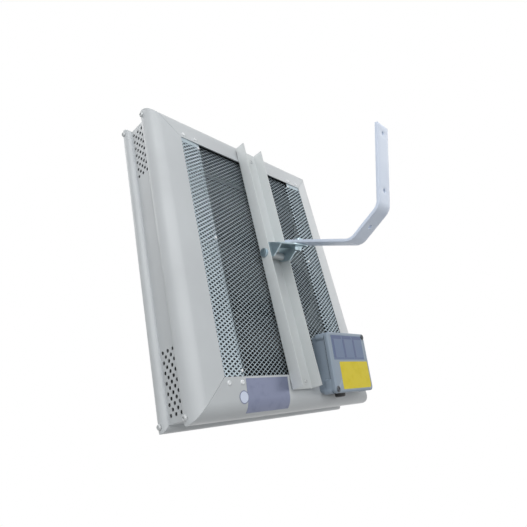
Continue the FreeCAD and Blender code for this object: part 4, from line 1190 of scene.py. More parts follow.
@dataclass
class Case:
    """Four mitred rails round the opening, with vents in the upright ones."""

    section: RailSection
    half_width: float = 171.5
    half_height: float = 218.5
    sheet: float = 1.2
    seam: float = 0.35
    vent_hole: float = 6.0
    vent_pitch: float = 15.3
    vent_column: float = 6.3
    vent_first: float = 34.5
    vent_rows: int = 7
    vent_columns: int = 5
    gauze_edge: float = 3.0
    gauze_gap: float = 0.3
    gauze_arch: float = 1.2
    gauze_wire: float = 0.3
    gauze_rows: int = 12
    gauze_columns: int = 30

    @property
    def cluster(self) -> float:
        """Height of a cluster of vents."""
        return self.vent_rows * self.vent_pitch

    @property
    def feet(self) -> tuple[float, float]:
        """Feet of the lower and the upper cluster of vents."""
        low = -self.half_height - self.vent_first - self.vent_pitch / 2
        return low, -low - self.cluster

    def strip(self, line: np.ndarray, half_long: float) -> Shell:
        """Carry a section line along a rail: its run grows with the reach, so that the ends are mitred.

        Args:
            line: Reach and level of the section's points.
            half_long: Half the opening along the rail.

        Returns:
            The strip as (reach, level, along).
        """
        half_run = half_long + line[:, 0] - self.seam
        return grid(carried(line, np.array([[-1], [0], [1]]) * half_run, 2))

    def vent_run(self, side: float, low: float, odd: bool) -> list[Shell]:
        """One column of a cluster of vents.

        Args:
            side: Level of the column's front side.
            low: Foot of the cluster.
            odd: Whether its holes are moved up by half a pitch, with half cells at its ends.

        Returns:
            Its cells, in (level, along).
        """
        wide, pitch = self.vent_column, self.vent_pitch
        feet = [low + (row + odd / 2) * pitch for row in range(self.vent_rows - odd)]
        cells = [holed_cell((side, foot), (side + wide, foot + pitch), self.vent_hole / 2) for foot in feet]
        if odd:
            cells += [plain_cell((side, end), (side + wide, end + pitch / 2), CELL_STEPS, CELL_STEPS // 2)
                      for end in (low, low + self.cluster - pitch / 2)]
        return cells

    def waist_cells(self) -> Shell:
        """Cells of an upright rail's waist: plain runs and two clusters of vents.

        Returns:
            The cells, in (level, along).
        """
        out, rear, front = self.section.waist
        middle = (rear + front) / 2
        half = self.vent_columns * self.vent_column / 2
        end = self.half_height + out - self.seam
        low, high = self.feet
        cells = [plain_cell((front, start), (rear, stop))
                 for start, stop in ((-end, low), (low + self.cluster, high), (-low, end))]
        for foot in self.feet:
            cells += [plain_cell((start, foot), (stop, foot + self.cluster), 1, CELL_STEPS * self.vent_rows)
                      for start, stop in ((front, middle - half), (middle + half, rear))]
            for column in range(self.vent_columns):
                cells += self.vent_run(middle - half + column * self.vent_column, foot, bool(column % 2))
        return united(cells)

    def rail(self, upright: bool) -> Shell:
        """One rail.

        Args:
            upright: Whether it is an upright one, with vents.

        Returns:
            The rail as (reach, level, along).
        """
        half_long = self.half_height if upright else self.half_width
        out, rear, front = self.section.waist
        if upright:
            waist = self.waist_cells().welded()
            waist.points = np.insert(waist.points[:, :2], 0, out, axis=1)
        else:
            waist = self.strip(np.array([(out, rear), (out, front)]), half_long)
        inside = (self.section.reach / 2, -self.section.depth / 2, 0)
        folds = [self.strip(line, half_long).turned_out(inside)
                 for line in (self.section.rear(), self.section.front())]
        return united([waist.turned_out((0, 0, 0)), *folds])

    def gauze(self, sign: int) -> Shell:
        """Dark wire gauze behind an upright rail's vents, whose near-black finish is painted shade for the
        space behind them: two sheets that arch inwards as the sine of both shares.

        Args:
            sign: Side of the heater, 1 or -1.

        Returns:
            Both sheets.
        """
        out, rear, front = self.section.waist
        share, up = np.meshgrid(np.linspace(0, 1, self.gauze_rows), np.linspace(0, 1, self.gauze_columns),
                                indexing="ij")
        arch = self.gauze_arch * np.sin(math.pi * share) * np.sin(math.pi * up)
        x = sign * (self.half_width + out - self.sheet - self.gauze_gap - arch)
        level = front + self.gauze_edge + (rear - front - 2 * self.gauze_edge) * share
        return united([grid(np.stack([x, level, foot + self.cluster * up], -1)).turned_out((0, 0, foot))
                       for foot in self.feet])

    def build(self) -> None:
        """Build the four rails and the gauze behind their vents, and dress them."""
        sides = {"left": (1, True), "right": (-1, True), "top": (1, False), "bottom": (-1, False)}
        for name, (sign, upright) in sides.items():
            shell = self.rail(upright)
            reach, level, run = shell.points.T
            out = sign * ((self.half_width if upright else self.half_height) + reach)
            shell.points = np.stack([out, level, run] if upright else [run, level, out], 1)
            # A mirrored rail, or one whose axes are swapped, has its faces turned round.
            if (sign > 0) != upright:
                shell.flipped()
            rail = Piece(f"case_rail_{name}", shell.placed(HEATER), PAINT, Slot.CASE, f"rail_{name}")
            # The rails' inner side is dark grey, painted shade inside the case.
            rail.thickened(self.sheet, CASE_INSIDE_SHADE)
            if upright:
                # The gauze is near black, painted shade behind the vents.
                gauze = Piece(f"vent_gauze_shade_{name}", self.gauze(sign).placed(HEATER), GAUZE_SHADE, Slot.GALVANISED)
                gauze.thickened(self.gauze_wire)

    def flange(self, x: float, out: float, up: int) -> Place:
        """Place on the top or bottom flange.

        Args:
            x: How far across.
            out: How far out of the opening.
            up: 1 for the top flange, -1 for the bottom one.

        Returns:
            The place, with z out of the metal.
        """
        tilt = math.radians(self.section.slope)
        normal = (0, math.cos(tilt), up * math.sin(tilt))
        return HEATER.at((x, -out * math.tan(tilt), up * (self.half_height + out)), facing(normal))


@dataclass
class Markings:
    """Blank foil plate bent over the bottom rail, and a white disc in a ring that laps over its edge."""

    case: Case
    plate_from: float = 31.0
    plate_to: float = 129.0
    plate_start: float = 3.0
    plate_stop: float = 55.0
    plate_columns: int = 12
    plate_rows: int = 28
    disc_x: float = 136.5
    disc_length: float = 30.0
    disc_radius: float = 8.3
    disc_steps: int = 15
    ring_radius: float = 9.6
    ring_rows: int = 8
    ring_sides: int = 40
    lift: float = 0.25
    film: float = 0.2
    lap: float = 0.3

    def laid(self, name: str, x: np.ndarray, length: np.ndarray, lift: float, finish: Film,
             closed: bool = False) -> None:
        """Make a film that follows the bottom rail.

        Args:
            name: Name of the piece.
            x: Places along the rail, as a grid.
            length: Lengths from the opening along the rail's section, as a grid.
            lift: Height of the film over the sheet.
            finish: What the film is made of.
            closed: Whether the grid's columns close on themselves.
        """
        spot = self.case.section.along(length, lift)
        points = np.stack([x, spot[..., 1], -self.case.half_height - spot[..., 0]], -1)
        inside = (0, -self.case.section.depth / 2, -self.case.half_height)
        shell = grid(points, closed_columns=closed).turned_out(inside)
        Piece(name, shell.placed(HEATER), finish).thickened(self.film)

    def build(self) -> None:
        """Build the plate as a grid over x and length, the disc as a square grid pressed round, and its ring.

        A point (a, b) of the square from -1 to 1 goes to (a sqrt(1 - b b / 2), b sqrt(1 - a a / 2)).
        """
        x, length = np.meshgrid(np.linspace(self.plate_from, self.plate_to, self.plate_columns),
                                np.linspace(self.plate_start, self.plate_stop, self.plate_rows))
        self.laid("data_plate", x, length, self.lift, FOIL)
        over = self.lift + self.lap
        step = np.linspace(-1, 1, self.disc_steps)
        across, up = np.meshgrid(step, step)
        self.laid("blank_disc", self.disc_x + self.disc_radius * across * np.sqrt(1 - up ** 2 / 2),
                  self.disc_length + self.disc_radius * up * np.sqrt(1 - across ** 2 / 2), over, WHITE_FILM)
        radius, turn = np.meshgrid(np.linspace(self.disc_radius, self.ring_radius, self.ring_rows),
                                   turns(self.ring_sides), indexing="ij")
        self.laid("blank_disc_ring", self.disc_x + radius * np.cos(turn),
                  self.disc_length + radius * np.sin(turn), over, FOIL, closed=True)


# Rear mesh

@dataclass
class RearMesh:
    """Expanded metal over the rear opening: a sunk middle, and two strips that steep folds lift."""

    half_width: float = 171.5
    half_height: float = 216.5
    fold: float = 126.5
    depth: float = 8.0
    rim_level: float = -1.3
    rim: float = 14.0
    rim_clear: float = 2.0
    rim_fall: float = 1.8
    long_way: float = 11.0
    short_way: float = 7.5
    strand: float = 0.95
    side_strand: float = 2.4
    knot_lap: float = 0.3
    thick: float = 0.6
    lean: float = -16.0
    lean_rise: float = 10.0
    wall: float = 5.0
    strip_level: float = -2.2
    over: float = 8.0
    border: float = 6.5
    border_steps: int = 8

    def level(self, x: np.ndarray) -> np.ndarray:
        """Level of the tray: flat to the fold, up the fold's wall, out to the rim, then down under the rail.

        Args:
            x: Places across the tray.

        Returns:
            The levels.
        """
        places = [0, self.fold - self.wall / 2, self.fold + self.wall / 2, self.half_width,
                  self.half_width + self.rim]
        levels = [-self.depth, -self.depth, self.strip_level, self.rim_level, self.rim_level - self.rim_fall]
        return np.interp(np.abs(x), places, levels)

    def lifted(self, plane: np.ndarray) -> np.ndarray:
        """Lift (x, z) points onto the tray."""
        return np.stack([plane[:, 0], self.level(plane[:, 0]) - self.thick, plane[:, 1]], 1)

    def knots(self) -> tuple[np.ndarray, np.ndarray]:
        """First and last knots of the strands in a staggered lattice.

        Knots lie at half pitches where the two counts add up to an even number. A strand runs from each
        knot to the next one up and the next one down. The strips' strands end below their plain borders.

        Returns:
            Where each strand starts and ends.
        """
        pitch = np.array([self.long_way / 2, self.short_way / 2])
        columns = int((self.half_width + self.rim - self.rim_clear) / pitch[0])
        rows = int((self.half_height + self.over) / pitch[1])
        border_row = int((self.half_height - self.border) / pitch[1])
        across, up = np.meshgrid(np.arange(-columns, columns), np.arange(-rows, rows + 1), indexing="ij")
        even = (across + up) % 2 == 0
        across, up = across[even], up[even]
        top = np.where(np.abs(across + 0.5) * pitch[0] < self.fold, rows, border_row)
        starts, ends = [], []
        for way in (1, -1):
            kept = (up + way >= -rows) & (up + way <= top)
            starts.append(np.stack([across[kept], up[kept]], 1))
            ends.append(np.stack([across[kept] + 1, up[kept] + way], 1))
        return self.lifted(np.concatenate(starts) * pitch), self.lifted(np.concatenate(ends) * pitch)

    def strands(self) -> Shell:
        """Strands as flat bars from knot to knot that lean about their own line.

        The lean grows evenly from one side of the sheet to the other.

        Returns:
            All strands as one shell.
        """
        first, last = self.knots()
        along = unit(last - first)
        middle = np.abs(first[:, :1] + last[:, :1]) / 2 < self.fold
        width = np.where(middle, self.strand, self.side_strand)
        first, last = first - along * width * self.knot_lap, last + along * width * self.knot_lap
        outward = unit(np.array([0.0, 1.0, 0.0]) - along * along[:, 1:2])
        side = np.cross(outward, along)
        side = side * np.sign(side[:, 2:3])
        lean = np.radians(self.lean + self.lean_rise * first[:, :1] / self.half_width)
        wide = (side * np.cos(lean) + outward * np.sin(lean)) * width / 2
        deep = (outward * np.cos(lean) - side * np.sin(lean)) * self.thick / 2
        ring = np.stack([wide + deep, deep - wide, -wide - deep, wide - deep], 1)
        points = np.stack([first[:, None] + ring, last[:, None] + ring], 1)
        box = np.concatenate([grid_faces(2, 4, closed_columns=True), [[0, 1, 2, 3], [7, 6, 5, 4]]])
        return Shell(points, (np.arange(len(first))[:, None, None] * 8 + box).reshape(-1, 4))

    def borders(self) -> list[Shell]:
        """Plain upper ends of the two strips, as bars whose level follows the tray.

        Returns:
            Both bars.
        """
        edge = self.half_width + self.rim - self.rim_clear
        x = np.linspace(self.fold + self.wall / 2, edge, self.border_steps)
        low, high = self.half_height - self.border, self.half_height + self.over / 2
        ring = [(low, 0.0), (high, 0.0), (high, -self.thick), (low, -self.thick)]
        return [bar(np.stack([np.stack([side * x, self.level(x) + drop, np.full(len(x), z)], 1)
                              for z, drop in ring], 1))
                for side in (1, -1)]

    def build(self) -> None:
        """Build the strands and the borders, and dress them."""
        shell = united([self.strands(), *self.borders()])
        Piece("expanded_mesh", shell.placed(HEATER), MESH_METAL, Slot.GALVANISED, "rear_mesh")


# Channel

@dataclass
class Channel:
    """Folded channel down the back, with round folds."""

    width: float = 54.0
    high: float = 24.0
    sheet: float = 2.0
    fold: float = 3.0
    fold_steps: int = 6
    low: float = -244.0
    top: float = 250.0
    edge: float = 0.35
    edge_angle: float = 60.0

    def section(self) -> np.ndarray:
        """Outside of the section: down one flange's outer face, under the web and up the other flange.

        Returns:
            The points as (x, y).
        """
        side = self.width / 2 - self.fold
        right = arc((side, self.fold), self.fold, 0, -90, self.fold_steps)
        left = arc((-side, self.fold), self.fold, 270, 180, self.fold_steps)
        return np.concatenate([[(self.width / 2, self.high)], right, left, [(-self.width / 2, self.high)]])

    def build(self) -> None:
        """Build the channel as its section carried up, thickened inwards."""
        points = carried(self.section(), np.linspace(self.low, self.top, 3), 2)
        shell = grid(points).turned_out((0, self.high / 2, 0))
        # Paler than the case paint, painted light against the shade in the channel.
        piece = Piece("back_channel", shell.placed(HEATER), CHANNEL_PAINT_LIT, Slot.CASE, "mount_channel")
        piece.thickened(self.sheet).bevelled(self.edge, self.edge_angle)


# Wall strap

@dataclass
class Strap:
    """Flat bar bent twice, with its holes, as a sheet along a bent line that is then thickened."""

    width: float = 35.0
    thick: float = 5.0
    bend: float = 19.0
    bend_steps: int = 10
    top: float = 63.0
    upper: float = -77.7
    diagonal: float = 71.4
    diagonal_angle: float = 46.3
    arm: float = 139.0
    hole: float = 3.5
    wall_holes: tuple[float, float] = (14.5, 111.5)
    brace_down: float = 37.0
    swivel_inset: float = 17.5
    swivel_hole: float = 4.05
    cell: float = 9.0
    edge: float = 0.45
    edge_angle: float = 60.0
    sharp: float = 30.0

    @property
    def radius(self) -> float:
        """Radius of the bends' outside, which is the wall side."""
        return self.bend + self.thick

    @property
    def headings(self) -> np.ndarray:
        """Headings of the upper leg, the diagonal and the arm in the (y, z) plane, in radians."""
        lean, rise = math.radians(self.diagonal_angle), math.radians(ARM_RISE)
        return -np.array([math.pi / 2, math.pi / 2 + lean, math.pi + rise])

    def legs(self) -> tuple[np.ndarray, np.ndarray, np.ndarray]:
        """Lengths along the wall side where the legs start and end.

        A bend takes a setback, its radius times tan(turn / 2), off both legs that it joins, and its arc lies
        between them.

        Returns:
            Starts and ends of the legs, and the setbacks of the bends.
        """
        bends = -np.diff(self.headings)
        setbacks = self.radius * np.tan(bends / 2)
        sides = np.array([self.top - self.upper, self.diagonal, self.arm])
        straight = sides - np.append(0, setbacks) - np.append(setbacks, 0)
        starts = np.append(0, np.cumsum(straight[:-1] + self.radius * bends))
        return starts, starts + straight, setbacks

    def line(self, run: np.ndarray) -> np.ndarray:
        """Points of the bar's middle at lengths along the wall side.

        The wall side adds up its legs and arcs as far as the length has come. An arc that has turned by t
        adds its radius times sin t along the leg before it, and its radius times 1 - cos t inwards. The
        middle lies half a thickness inwards.

        Args:
            run: Lengths along the wall side.

        Returns:
            Points as (y, z).
        """
        starts, ends, _ = self.legs()
        spots = np.tile((0.0, self.top), (len(run), 1))
        heading = np.full((len(run), 1), self.headings[0])
        for turned, start, end, after in zip(self.headings, starts, ends, [*starts[1:], ends[-1]]):
            way = np.array([math.cos(turned), math.sin(turned)])
            inward = np.array([math.sin(turned), -math.cos(turned)])
            turn = np.clip(run - end, 0, after - end)[:, None] / self.radius
            spots += np.clip(run - start, 0, end - start)[:, None] * way
            spots += self.radius * (np.sin(turn) * way + (1 - np.cos(turn)) * inward)
            heading -= turn
        return spots + self.thick / 2 * np.concatenate([np.sin(heading), -np.cos(heading)], 1)

    def cells(self) -> Shell:
        """The bar before it is bent, from plain cells, holed cells and finely cut cells for the bends.

        Returns:
            The cells as (length along the wall side, across, 0).
        """
        starts, ends, setbacks = self.legs()
        brace = starts[1] + self.brace_down - setbacks[0]
        holes = [(spot, self.hole) for spot in (*self.wall_holes, brace)]
        holes.append((ends[2] - self.swivel_inset, self.swivel_hole))
        cuts = [(spot - self.cell, spot + self.cell, radius) for spot, radius in holes]
        cuts += [(end, after, 0.0) for end, after in zip(ends, [*starts[1:], ends[2]])]
        half = self.width / 2
        cells = []
        done = 0.0
        for low, high, radius in sorted(cuts):
            cells.append(plain_cell((done, -half), (low, half), 1, CELL_STEPS))
            if radius:
                cells.append(holed_cell((low, -half), (high, half), radius))
            elif high > low:
                cells.append(plain_cell((low, -half), (high, half), self.bend_steps, CELL_STEPS))
            done = high
        return united(cells)

    def build(self) -> None:
        """Bend the cells along the bar's line and thicken them."""
        sheet = self.cells()
        run, across, _ = sheet.points.T
        sheet.points = np.column_stack([across, self.line(run)])
        piece = Piece("strap_bar", sheet.welded().placed(ROW), STRAP_PAINT, Slot.STRAP, "wall_strap",
                      Body.BRACKET, self.sharp)
        piece.thickened(self.thick, offset=0.0).bevelled(self.edge, self.edge_angle)


# Fasteners

class Drive(Enum):
    """What turns a screw."""

    CROSS = "cross"
    NONE = "none"


@dataclass(frozen=True)
class Head:
    """Screw head on z = 0: a straight rim and a dome above it."""

    radius: float
    high: float
    rim: float = 0.35
    drive: Drive = Drive.CROSS
    drive_width: float = 0.2
    drive_deep: float = 0.45
    drive_reach: float = 0.62
    sides: int = 32
    dome_rows: int = 12

    def shell(self) -> Shell:
        """Turn the head: the dome falls from its top as a quarter ellipse, and the cross sinks into it.

        Returns:
            The head.
        """
        lift = np.radians(np.linspace(0, 90, self.dome_rows))[:-1]
        levels = self.high * (self.rim + (1 - self.rim) * np.sin(lift))
        dome = list(zip(self.radius * np.cos(lift), levels))
        shell = lathe([(0, 0), (self.radius, 0), *dome, (0, self.high)], self.sides)
        if self.drive is Drive.CROSS:
            x, y, z = np.abs(shell.points).T
            narrow = np.minimum(x, y) < self.radius * self.drive_width
            near = np.maximum(x, y) < self.radius * self.drive_reach
            shell.points[:, 2] -= (narrow & near & (z > 0)) * self.high * self.drive_deep
        return shell


@dataclass(frozen=True)
class Hexagon:
    """Six-sided head or nut on z = 0 with a rounded top."""

    across: float
    high: float
    bore: float = 0.0
    shoulder: float = 0.82
    top: float = 0.98
    corner: float = 1.13
    crown: float = 1.04
    sides: int = 48

    def shell(self) -> Shell:
        """Turn a profile whose reach follows six flats: 1 / cos t at a turn t from a flat's middle.

        Returns:
            The head.
        """
        sixth = math.pi / 3
        flats = np.minimum(1 / np.cos((turns(self.sides) + sixth / 2) % sixth - sixth / 2), self.corner)
        crown = np.minimum(flats, self.crown)
        side = self.across / 2
        outer = [(side, 0), (side, self.high * self.shoulder), (side * self.top, self.high)]
        if self.bore:
            inner = [(self.bore, self.high), (self.bore, 0)]
            whole = np.ones(self.sides)
            return lathe(outer + inner, self.sides, np.stack([flats, flats, crown, whole, whole]), True)
        reach = np.stack([flats, flats, flats, crown, crown])
        return lathe([(0, 0), *outer, (0, self.high)], self.sides, reach)


@dataclass
class Fasteners:
    """Screws, rivets and bolts, each kind as one piece."""

    case: Case
    mesh: RearMesh
    corner_head: Head = Head(4.5, 4.0, rim=0.25)
    corner_out: float = 45.5
    pan_head: Head = Head(3.5, 2.4)
    flange_out: float = 8.5
    flange_corner: float = 7.5
    flange_gap: float = 27.0
    channel_side: float = 12.5
    channel_out: float = 12.5
    channel_floor: float = 2.0
    channel_half: float = 27.0
    rivet_head: Head = Head(2.5, 1.6, rim=0.2, drive=Drive.NONE, sides=20)
    rivet_shank: float = 1.6
    rivet_deep: float = 4.2
    rivet_out: float = 5.0
    rivet_end: float = 7.0
    rivet_middle: float = 20.0
    shank: float = 4.0
    shank_tip: float = 3.6
    tip_long: float = 0.6
    tip_dome: float = 0.3
    pivot_past: float = 8.0
    pivot_head: Profile = ((8.25, 0.0), (8.25, 3.6), (7.9, 4.4), (6.6, 4.85), (0.0, 5.0))
    swivel_head: Hexagon = Hexagon(13.0, 5.3)
    nut: Hexagon = Hexagon(13.0, 6.5, bore=4.0)
    arm_thick: float = 5.0
    saddle_low: float = -3.6
    washer_bore: float = 4.3
    washer_radius: float = 9.0
    washer_inset: float = 0.2
    washer_rise: float = 0.3
    washer: float = 1.6

    @staticmethod
    def heads(name: str, head: Head, places: Sequence[Place], finish: Finish, slot: Slot, node: str) -> None:
        """Make one piece of a head at several places."""
        shells = [head.shell().placed(place) for place in places]
        Piece(name, united(shells), finish, slot, node)

    def build(self) -> None:
        """Build every kind."""
        self.corners()
        self.flanges()
        self.channel()
        self.rivets()
        self.pivot()
        self.swivel()

    def corners(self) -> None:
        """Domed screws on the tips of the upright rails' bulge and nose."""
        section = self.case.section
        up = self.case.half_height + self.corner_out
        tips = [(section.reach, section.bulge_level), (section.nose_reach, section.nose_level)]
        places = [HEATER.at((side * (self.case.half_width + reach), level, end * up), facing((side, 0, 0)))
                  for side in (1, -1) for reach, level in tips for end in (1, -1)]
        self.heads("corner_screw_heads", self.corner_head, places, DULL_ZINC, Slot.CASE, "corner_screws")

    def flanges(self) -> None:
        """Pan heads on the top and bottom flanges, apart from the terminal box's corner, in a whiter paint
        that is partly a painted highlight on their domes.
        """
        outer = self.case.half_width - self.flange_corner
        places = [self.case.flange(side * x, self.flange_out, end)
                  for end in (1, -1) for side in (1, -1) for x in (outer, outer - self.flange_gap)
                  if end > 0 or side > 0]
        self.heads("flange_screw_heads", self.pan_head, places, HEAD_PAINT_AND_HIGHLIGHT, Slot.ZINC, "flange_screws")

    def channel(self) -> None:
        """Pan heads on the channel's web."""
        up = self.case.half_height + self.channel_out
        places = [HEATER.at((side * self.channel_side, self.channel_floor, end * up), REARWARDS)
                  for side in (1, -1) for end in (1, -1)]
        self.heads("channel_screw_heads", self.pan_head, places, DULL_ZINC, Slot.ZINC, "channel_screws")

    def rivets(self) -> None:
        """Blind rivets along the folds of the mesh."""
        mesh = self.mesh
        head, shank, foot = self.rivet_head, self.rivet_shank, -self.rivet_deep
        tail = lathe([(0, foot), (shank, foot), (shank, 0), (0, 0)], head.sides)
        rivet = united([head.shell(), tail])
        end = mesh.half_height - self.rivet_end
        x = mesh.fold + self.rivet_out
        places = [HEATER.at((side * x, float(mesh.level(np.array(x))), z), REARWARDS)
                  for side in (1, -1) for z in (-end, self.rivet_middle, end)]
        rivets = united([rivet.placed(place) for place in places])
        # The rivets take the whiter head paint, partly a painted highlight.
        Piece("rivet_heads", rivets, HEAD_PAINT_AND_HIGHLIGHT, Slot.GALVANISED, "mesh_rivets")

    def pivot(self) -> None:
        """Round-headed bolt across the channel, with its nut."""
        _, y, z = PIVOT_IN_HEATER
        half = self.channel_half
        tip = -2 * half - self.pivot_past
        shank = [(0, tip), (self.shank_tip, tip), (self.shank, tip + self.tip_long), (self.shank, 0)]
        bolt = lathe([*shank, *self.pivot_head], ROUND_SIDES).placed(HEATER.at((half, y, z), ACROSS))
        Piece("pivot_bolt_turned", bolt, ZINC, Slot.ZINC, "pivot_bolt")
        nut = self.nut.shell().placed(HEATER.at((-half, y, z), facing((-1, 0, 0))))
        Piece("pivot_nut_shaped", nut, ZINC, Slot.ZINC, "pivot_nut")

    def swivel(self) -> None:
        """Hexagon bolt down through the arm, with the washer and nut under the knuckle."""
        under = self.saddle_low - self.washer
        low = under - self.nut.high
        top = self.arm_thick
        head = self.swivel_head.shell().placed(ARM.at((0, 0, top)))
        shank = lathe([(0, low - self.tip_dome), (self.shank, low), (self.shank, top), (0, top)])
        bolt = united([head, shank.placed(ARM)])
        Piece("swivel_bolt_shaped", bolt, ZINC, Slot.ZINC, "swivel_bolt", Body.BRACKET)
        washer = hoop(self.washer_bore, self.washer_radius, 0, self.washer, self.washer_inset,
                      self.washer_rise)
        Piece("swivel_washer_turned", washer.placed(ARM.at((0, 0, under))), ZINC, Slot.ZINC, "swivel_washer",
              Body.BRACKET)
        nut = self.nut.shell().placed(ARM.at((0, 0, under), facing((0, 0, -1))))
        Piece("swivel_nut_shaped", nut, ZINC, Slot.ZINC, "swivel_nut", Body.BRACKET)


# Knuckle

@dataclass
class Knuckle:
    """Folded zinc saddle with softened edges and the spacer tube between its cheeks."""

    edge: float = 0.6
    edge_angle: float = 50.0
    sleeve_outer: float = 7.0
    sleeve_bore: float = 4.05
    sleeve_half: float = 21.6
    sleeve_edge: float = 0.5

    def build(self) -> None:
        """Copy the saddle, soften it, and turn the tube."""
        saddle = Piece("knuckle_saddle", node_shell("swivel_knuckle"), ZINC, Slot.ZINC, "swivel_knuckle",
                       Body.KNUCKLE)
        saddle.dissolved().bevelled(self.edge, self.edge_angle)
        sleeve = hoop(self.sleeve_bore, self.sleeve_outer, -self.sleeve_half, self.sleeve_half,
                      self.sleeve_edge, self.sleeve_edge)
        Piece("pivot_spacer", sleeve.placed(HEATER.at(PIVOT_IN_HEATER, ACROSS)), DULL_ZINC, Slot.ZINC,
              "pivot_sleeve", Body.KNUCKLE)


# Terminal box

@dataclass
class TerminalBox:
    """Plastic box on the bottom rail: tray, lid with blank films, screws and a cable gland.

    Films are given by their low and high corners and the radius of their corners, in the box's frame.
    """

    case: Case
    side: float = 113.5
    edge: float = 0.5
    edge_angle: float = 50.0
    base_inset: float = 4.0
    lug: tuple[float, float, float] = (7.0, 22.0, 3.4)
    lug_profile: Profile = ((1.2, -13.0), (0.3, -12.2), (0.0, -11.0), (0.0, -0.8), (0.4, -0.4))
    lid_width: float = 125.0
    lid_high: float = 107.0
    lid_thick: float = 9.0
    lid_corner: float = 7.0
    lid_low: float = 28.5
    lid_foot: Profile = ((2.0, 0.0), (0.6, 0.0), (0.6, 1.4), (0.0, 2.0))
    shoulder: float = 3.0
    face_inset: float = 5.2
    face_edge: float = 0.4
    face_sunk: float = 0.35
    middle: float = 15.0
    film: float = 0.2
    film_sharp: float = 20.0
    yellow: Patch = ((-38.5, -34.0), (57.5, 15.0), 3.0)
    panel: Patch = ((-53.0, 18.5), (50.0, 63.5), 1.0)
    frame_starts: tuple[float, ...] = (-51.0, -17.0, 17.0)
    frame_lift: float = 0.12
    frame_head: Patch = ((0.0, 56.0), (31.0, 62.0), 0.5)
    frame_foot: Patch = ((0.0, 20.5), (31.0, 22.0), 0.4)
    frame_bar: Patch = ((0.0, 22.5), (6.0, 55.5), 0.4)
    boss: float = 13.0
    screw: Head = Head(3.6, 2.2, rim=0.5, drive_width=0.24, drive_deep=0.6)
    screw_sunk: float = 1.0
    well: Profile = ((4.4, -0.2), (5.4, -0.05), (5.6, 0.25), (5.0, 0.5), (4.2, 0.2))
    well_sunk: float = 0.3
    gland_side: float = 18.0
    gland_up: float = 13.5
    gland_bore: float = 4.5
    gland_neck: float = 7.4
    gland_neck_long: float = 7.0
    gland_mouth: float = 4.7
    gland_collar: Hexagon = Hexagon(22.0, 4.0, bore=4.5)
    gland_dome: Profile = ((9.5, 0.0), (9.5, 7.6), (9.1, 8.8), (8.0, 9.7), (6.6, 10.0), (4.7, 10.0),
                           (4.5, 9.6), (4.5, 0.0))
    ribs: int = 20
    rib_deep: float = 0.045
    rib_end: float = 9.0
    rib_fade: float = 2.0
    rib_sides: int = 120

    @property
    def place(self) -> Place:
        """Frame of the box: x to -X, y up the panel, z rearwards out of the flange."""
        slope = math.radians(self.case.section.slope)
        up = (0, math.sin(slope), math.cos(slope))
        out = (0, math.cos(slope), -math.sin(slope))
        return HEATER.at((-self.side, 0, -self.case.half_height), np.stack([(-1, 0, 0), up, out], 1))

    @property
    def top(self) -> float:
        """Level of the lid's rim."""
        return self.lid_low + self.lid_thick

    def build(self) -> None:
        """Build the tray, the lid, its films, the screws and the gland."""
        tray = Piece("box_tray", node_shell("terminal_box_base"), BOX_PLASTIC, Slot.BOX, "terminal_box_base")
        tray.dissolved().bevelled(self.edge, self.edge_angle)
        self.lugs()
        self.lid()
        self.films()
        self.screws()
        self.gland()

    def lugs(self) -> None:
        """Round-ended lugs on the tray's side walls, under the two screwed corners of the lid."""
        shells = []
        width, long, corner = self.lug
        profile = [(inset, self.lid_low + height) for inset, height in self.lug_profile]
        for end in (1, -1):
            middle = (end * (self.lid_width / 2 - self.base_inset),
                      self.middle + end * (self.lid_high / 2 - self.base_inset - long / 2))
            outline = rounded_rectangle(width, long, corner, steps=6) + middle
            shells.append(layered(outline, profile, middle))
        Piece("box_lugs", united(shells).placed(self.place), BOX_PLASTIC, Slot.BOX)

    def lid(self) -> None:
        """Lid: its outline in layers, with a step at its foot, a wall, a shoulder and a sunk face."""
        middle = (0, self.middle)
        outline = rounded_rectangle(self.lid_width, self.lid_high, self.lid_corner, steps=8) + middle
        shoulder = arc((self.shoulder, self.lid_thick - self.shoulder), self.shoulder, 180, 90, steps=7)
        face = [(self.face_inset, self.lid_thick),
                (self.face_inset + self.face_edge, self.lid_thick - self.face_sunk)]
        layers = [(inset, self.lid_low + height) for inset, height in [*self.lid_foot, *shoulder, *face]]
        lid = layered(outline, layers, middle).placed(self.place)
        Piece("box_lid", lid, BOX_PLASTIC, Slot.BOX, "terminal_box_lid")

    def sheet(self, name: str, low: Spot, high: Spot, corner: float, finish: Film, lift: float = 0.0) -> None:
        """One film on the lid's face.

        Args:
            name: Name of the piece.
            low: Low corner in the box's frame.
            high: High corner in the box's frame.
            corner: Radius of its corners.
            finish: Its finish.
            lift: Level of its underside above the lid's face.
        """
        low, high = np.asarray(low), np.asarray(high)
        middle = (low + high) / 2
        outline = rounded_rectangle(*(high - low), corner, steps=5) + middle
        face = self.top - self.face_sunk + lift
        film = layered(outline, [(0.0, face), (0.0, face + self.film)], middle)
        Piece(name, film.placed(self.place), finish, sharp=self.film_sharp)

    def films(self) -> None:
        """Yellow film low on the lid, and three blank framed panels above it."""
        self.sheet("yellow_plate", *self.yellow, YELLOW_FILM)
        self.sheet("panel_sheet", *self.panel, PANEL_FILM)
        parts = {"head": self.frame_head, "foot": self.frame_foot, "bar": self.frame_bar}
        for number, start in enumerate(self.frame_starts):
            for part, (low, high, corner) in parts.items():
                self.sheet(f"panel_{part}_{number}", np.add(low, (start, 0)), np.add(high, (start, 0)),
                           corner, FRAME_FILM, self.frame_lift)

    def screws(self) -> None:
        """Black screws in ringed wells, at two corners of the lid."""
        x, y = (self.lid_width - self.boss) / 2, (self.lid_high - self.boss) / 2
        well = lathe(self.well, closed=True)
        parts = [part.placed(self.place.at((end * x, self.middle + end * y, self.top - sunk)))
                 for part, sunk in ((self.screw.shell(), self.screw_sunk), (well, self.well_sunk))
                 for end in (1, -1)]
        Piece("lid_screw_heads", united(parts), BLACK_PLASTIC, Slot.BLACK, "lid_screws")

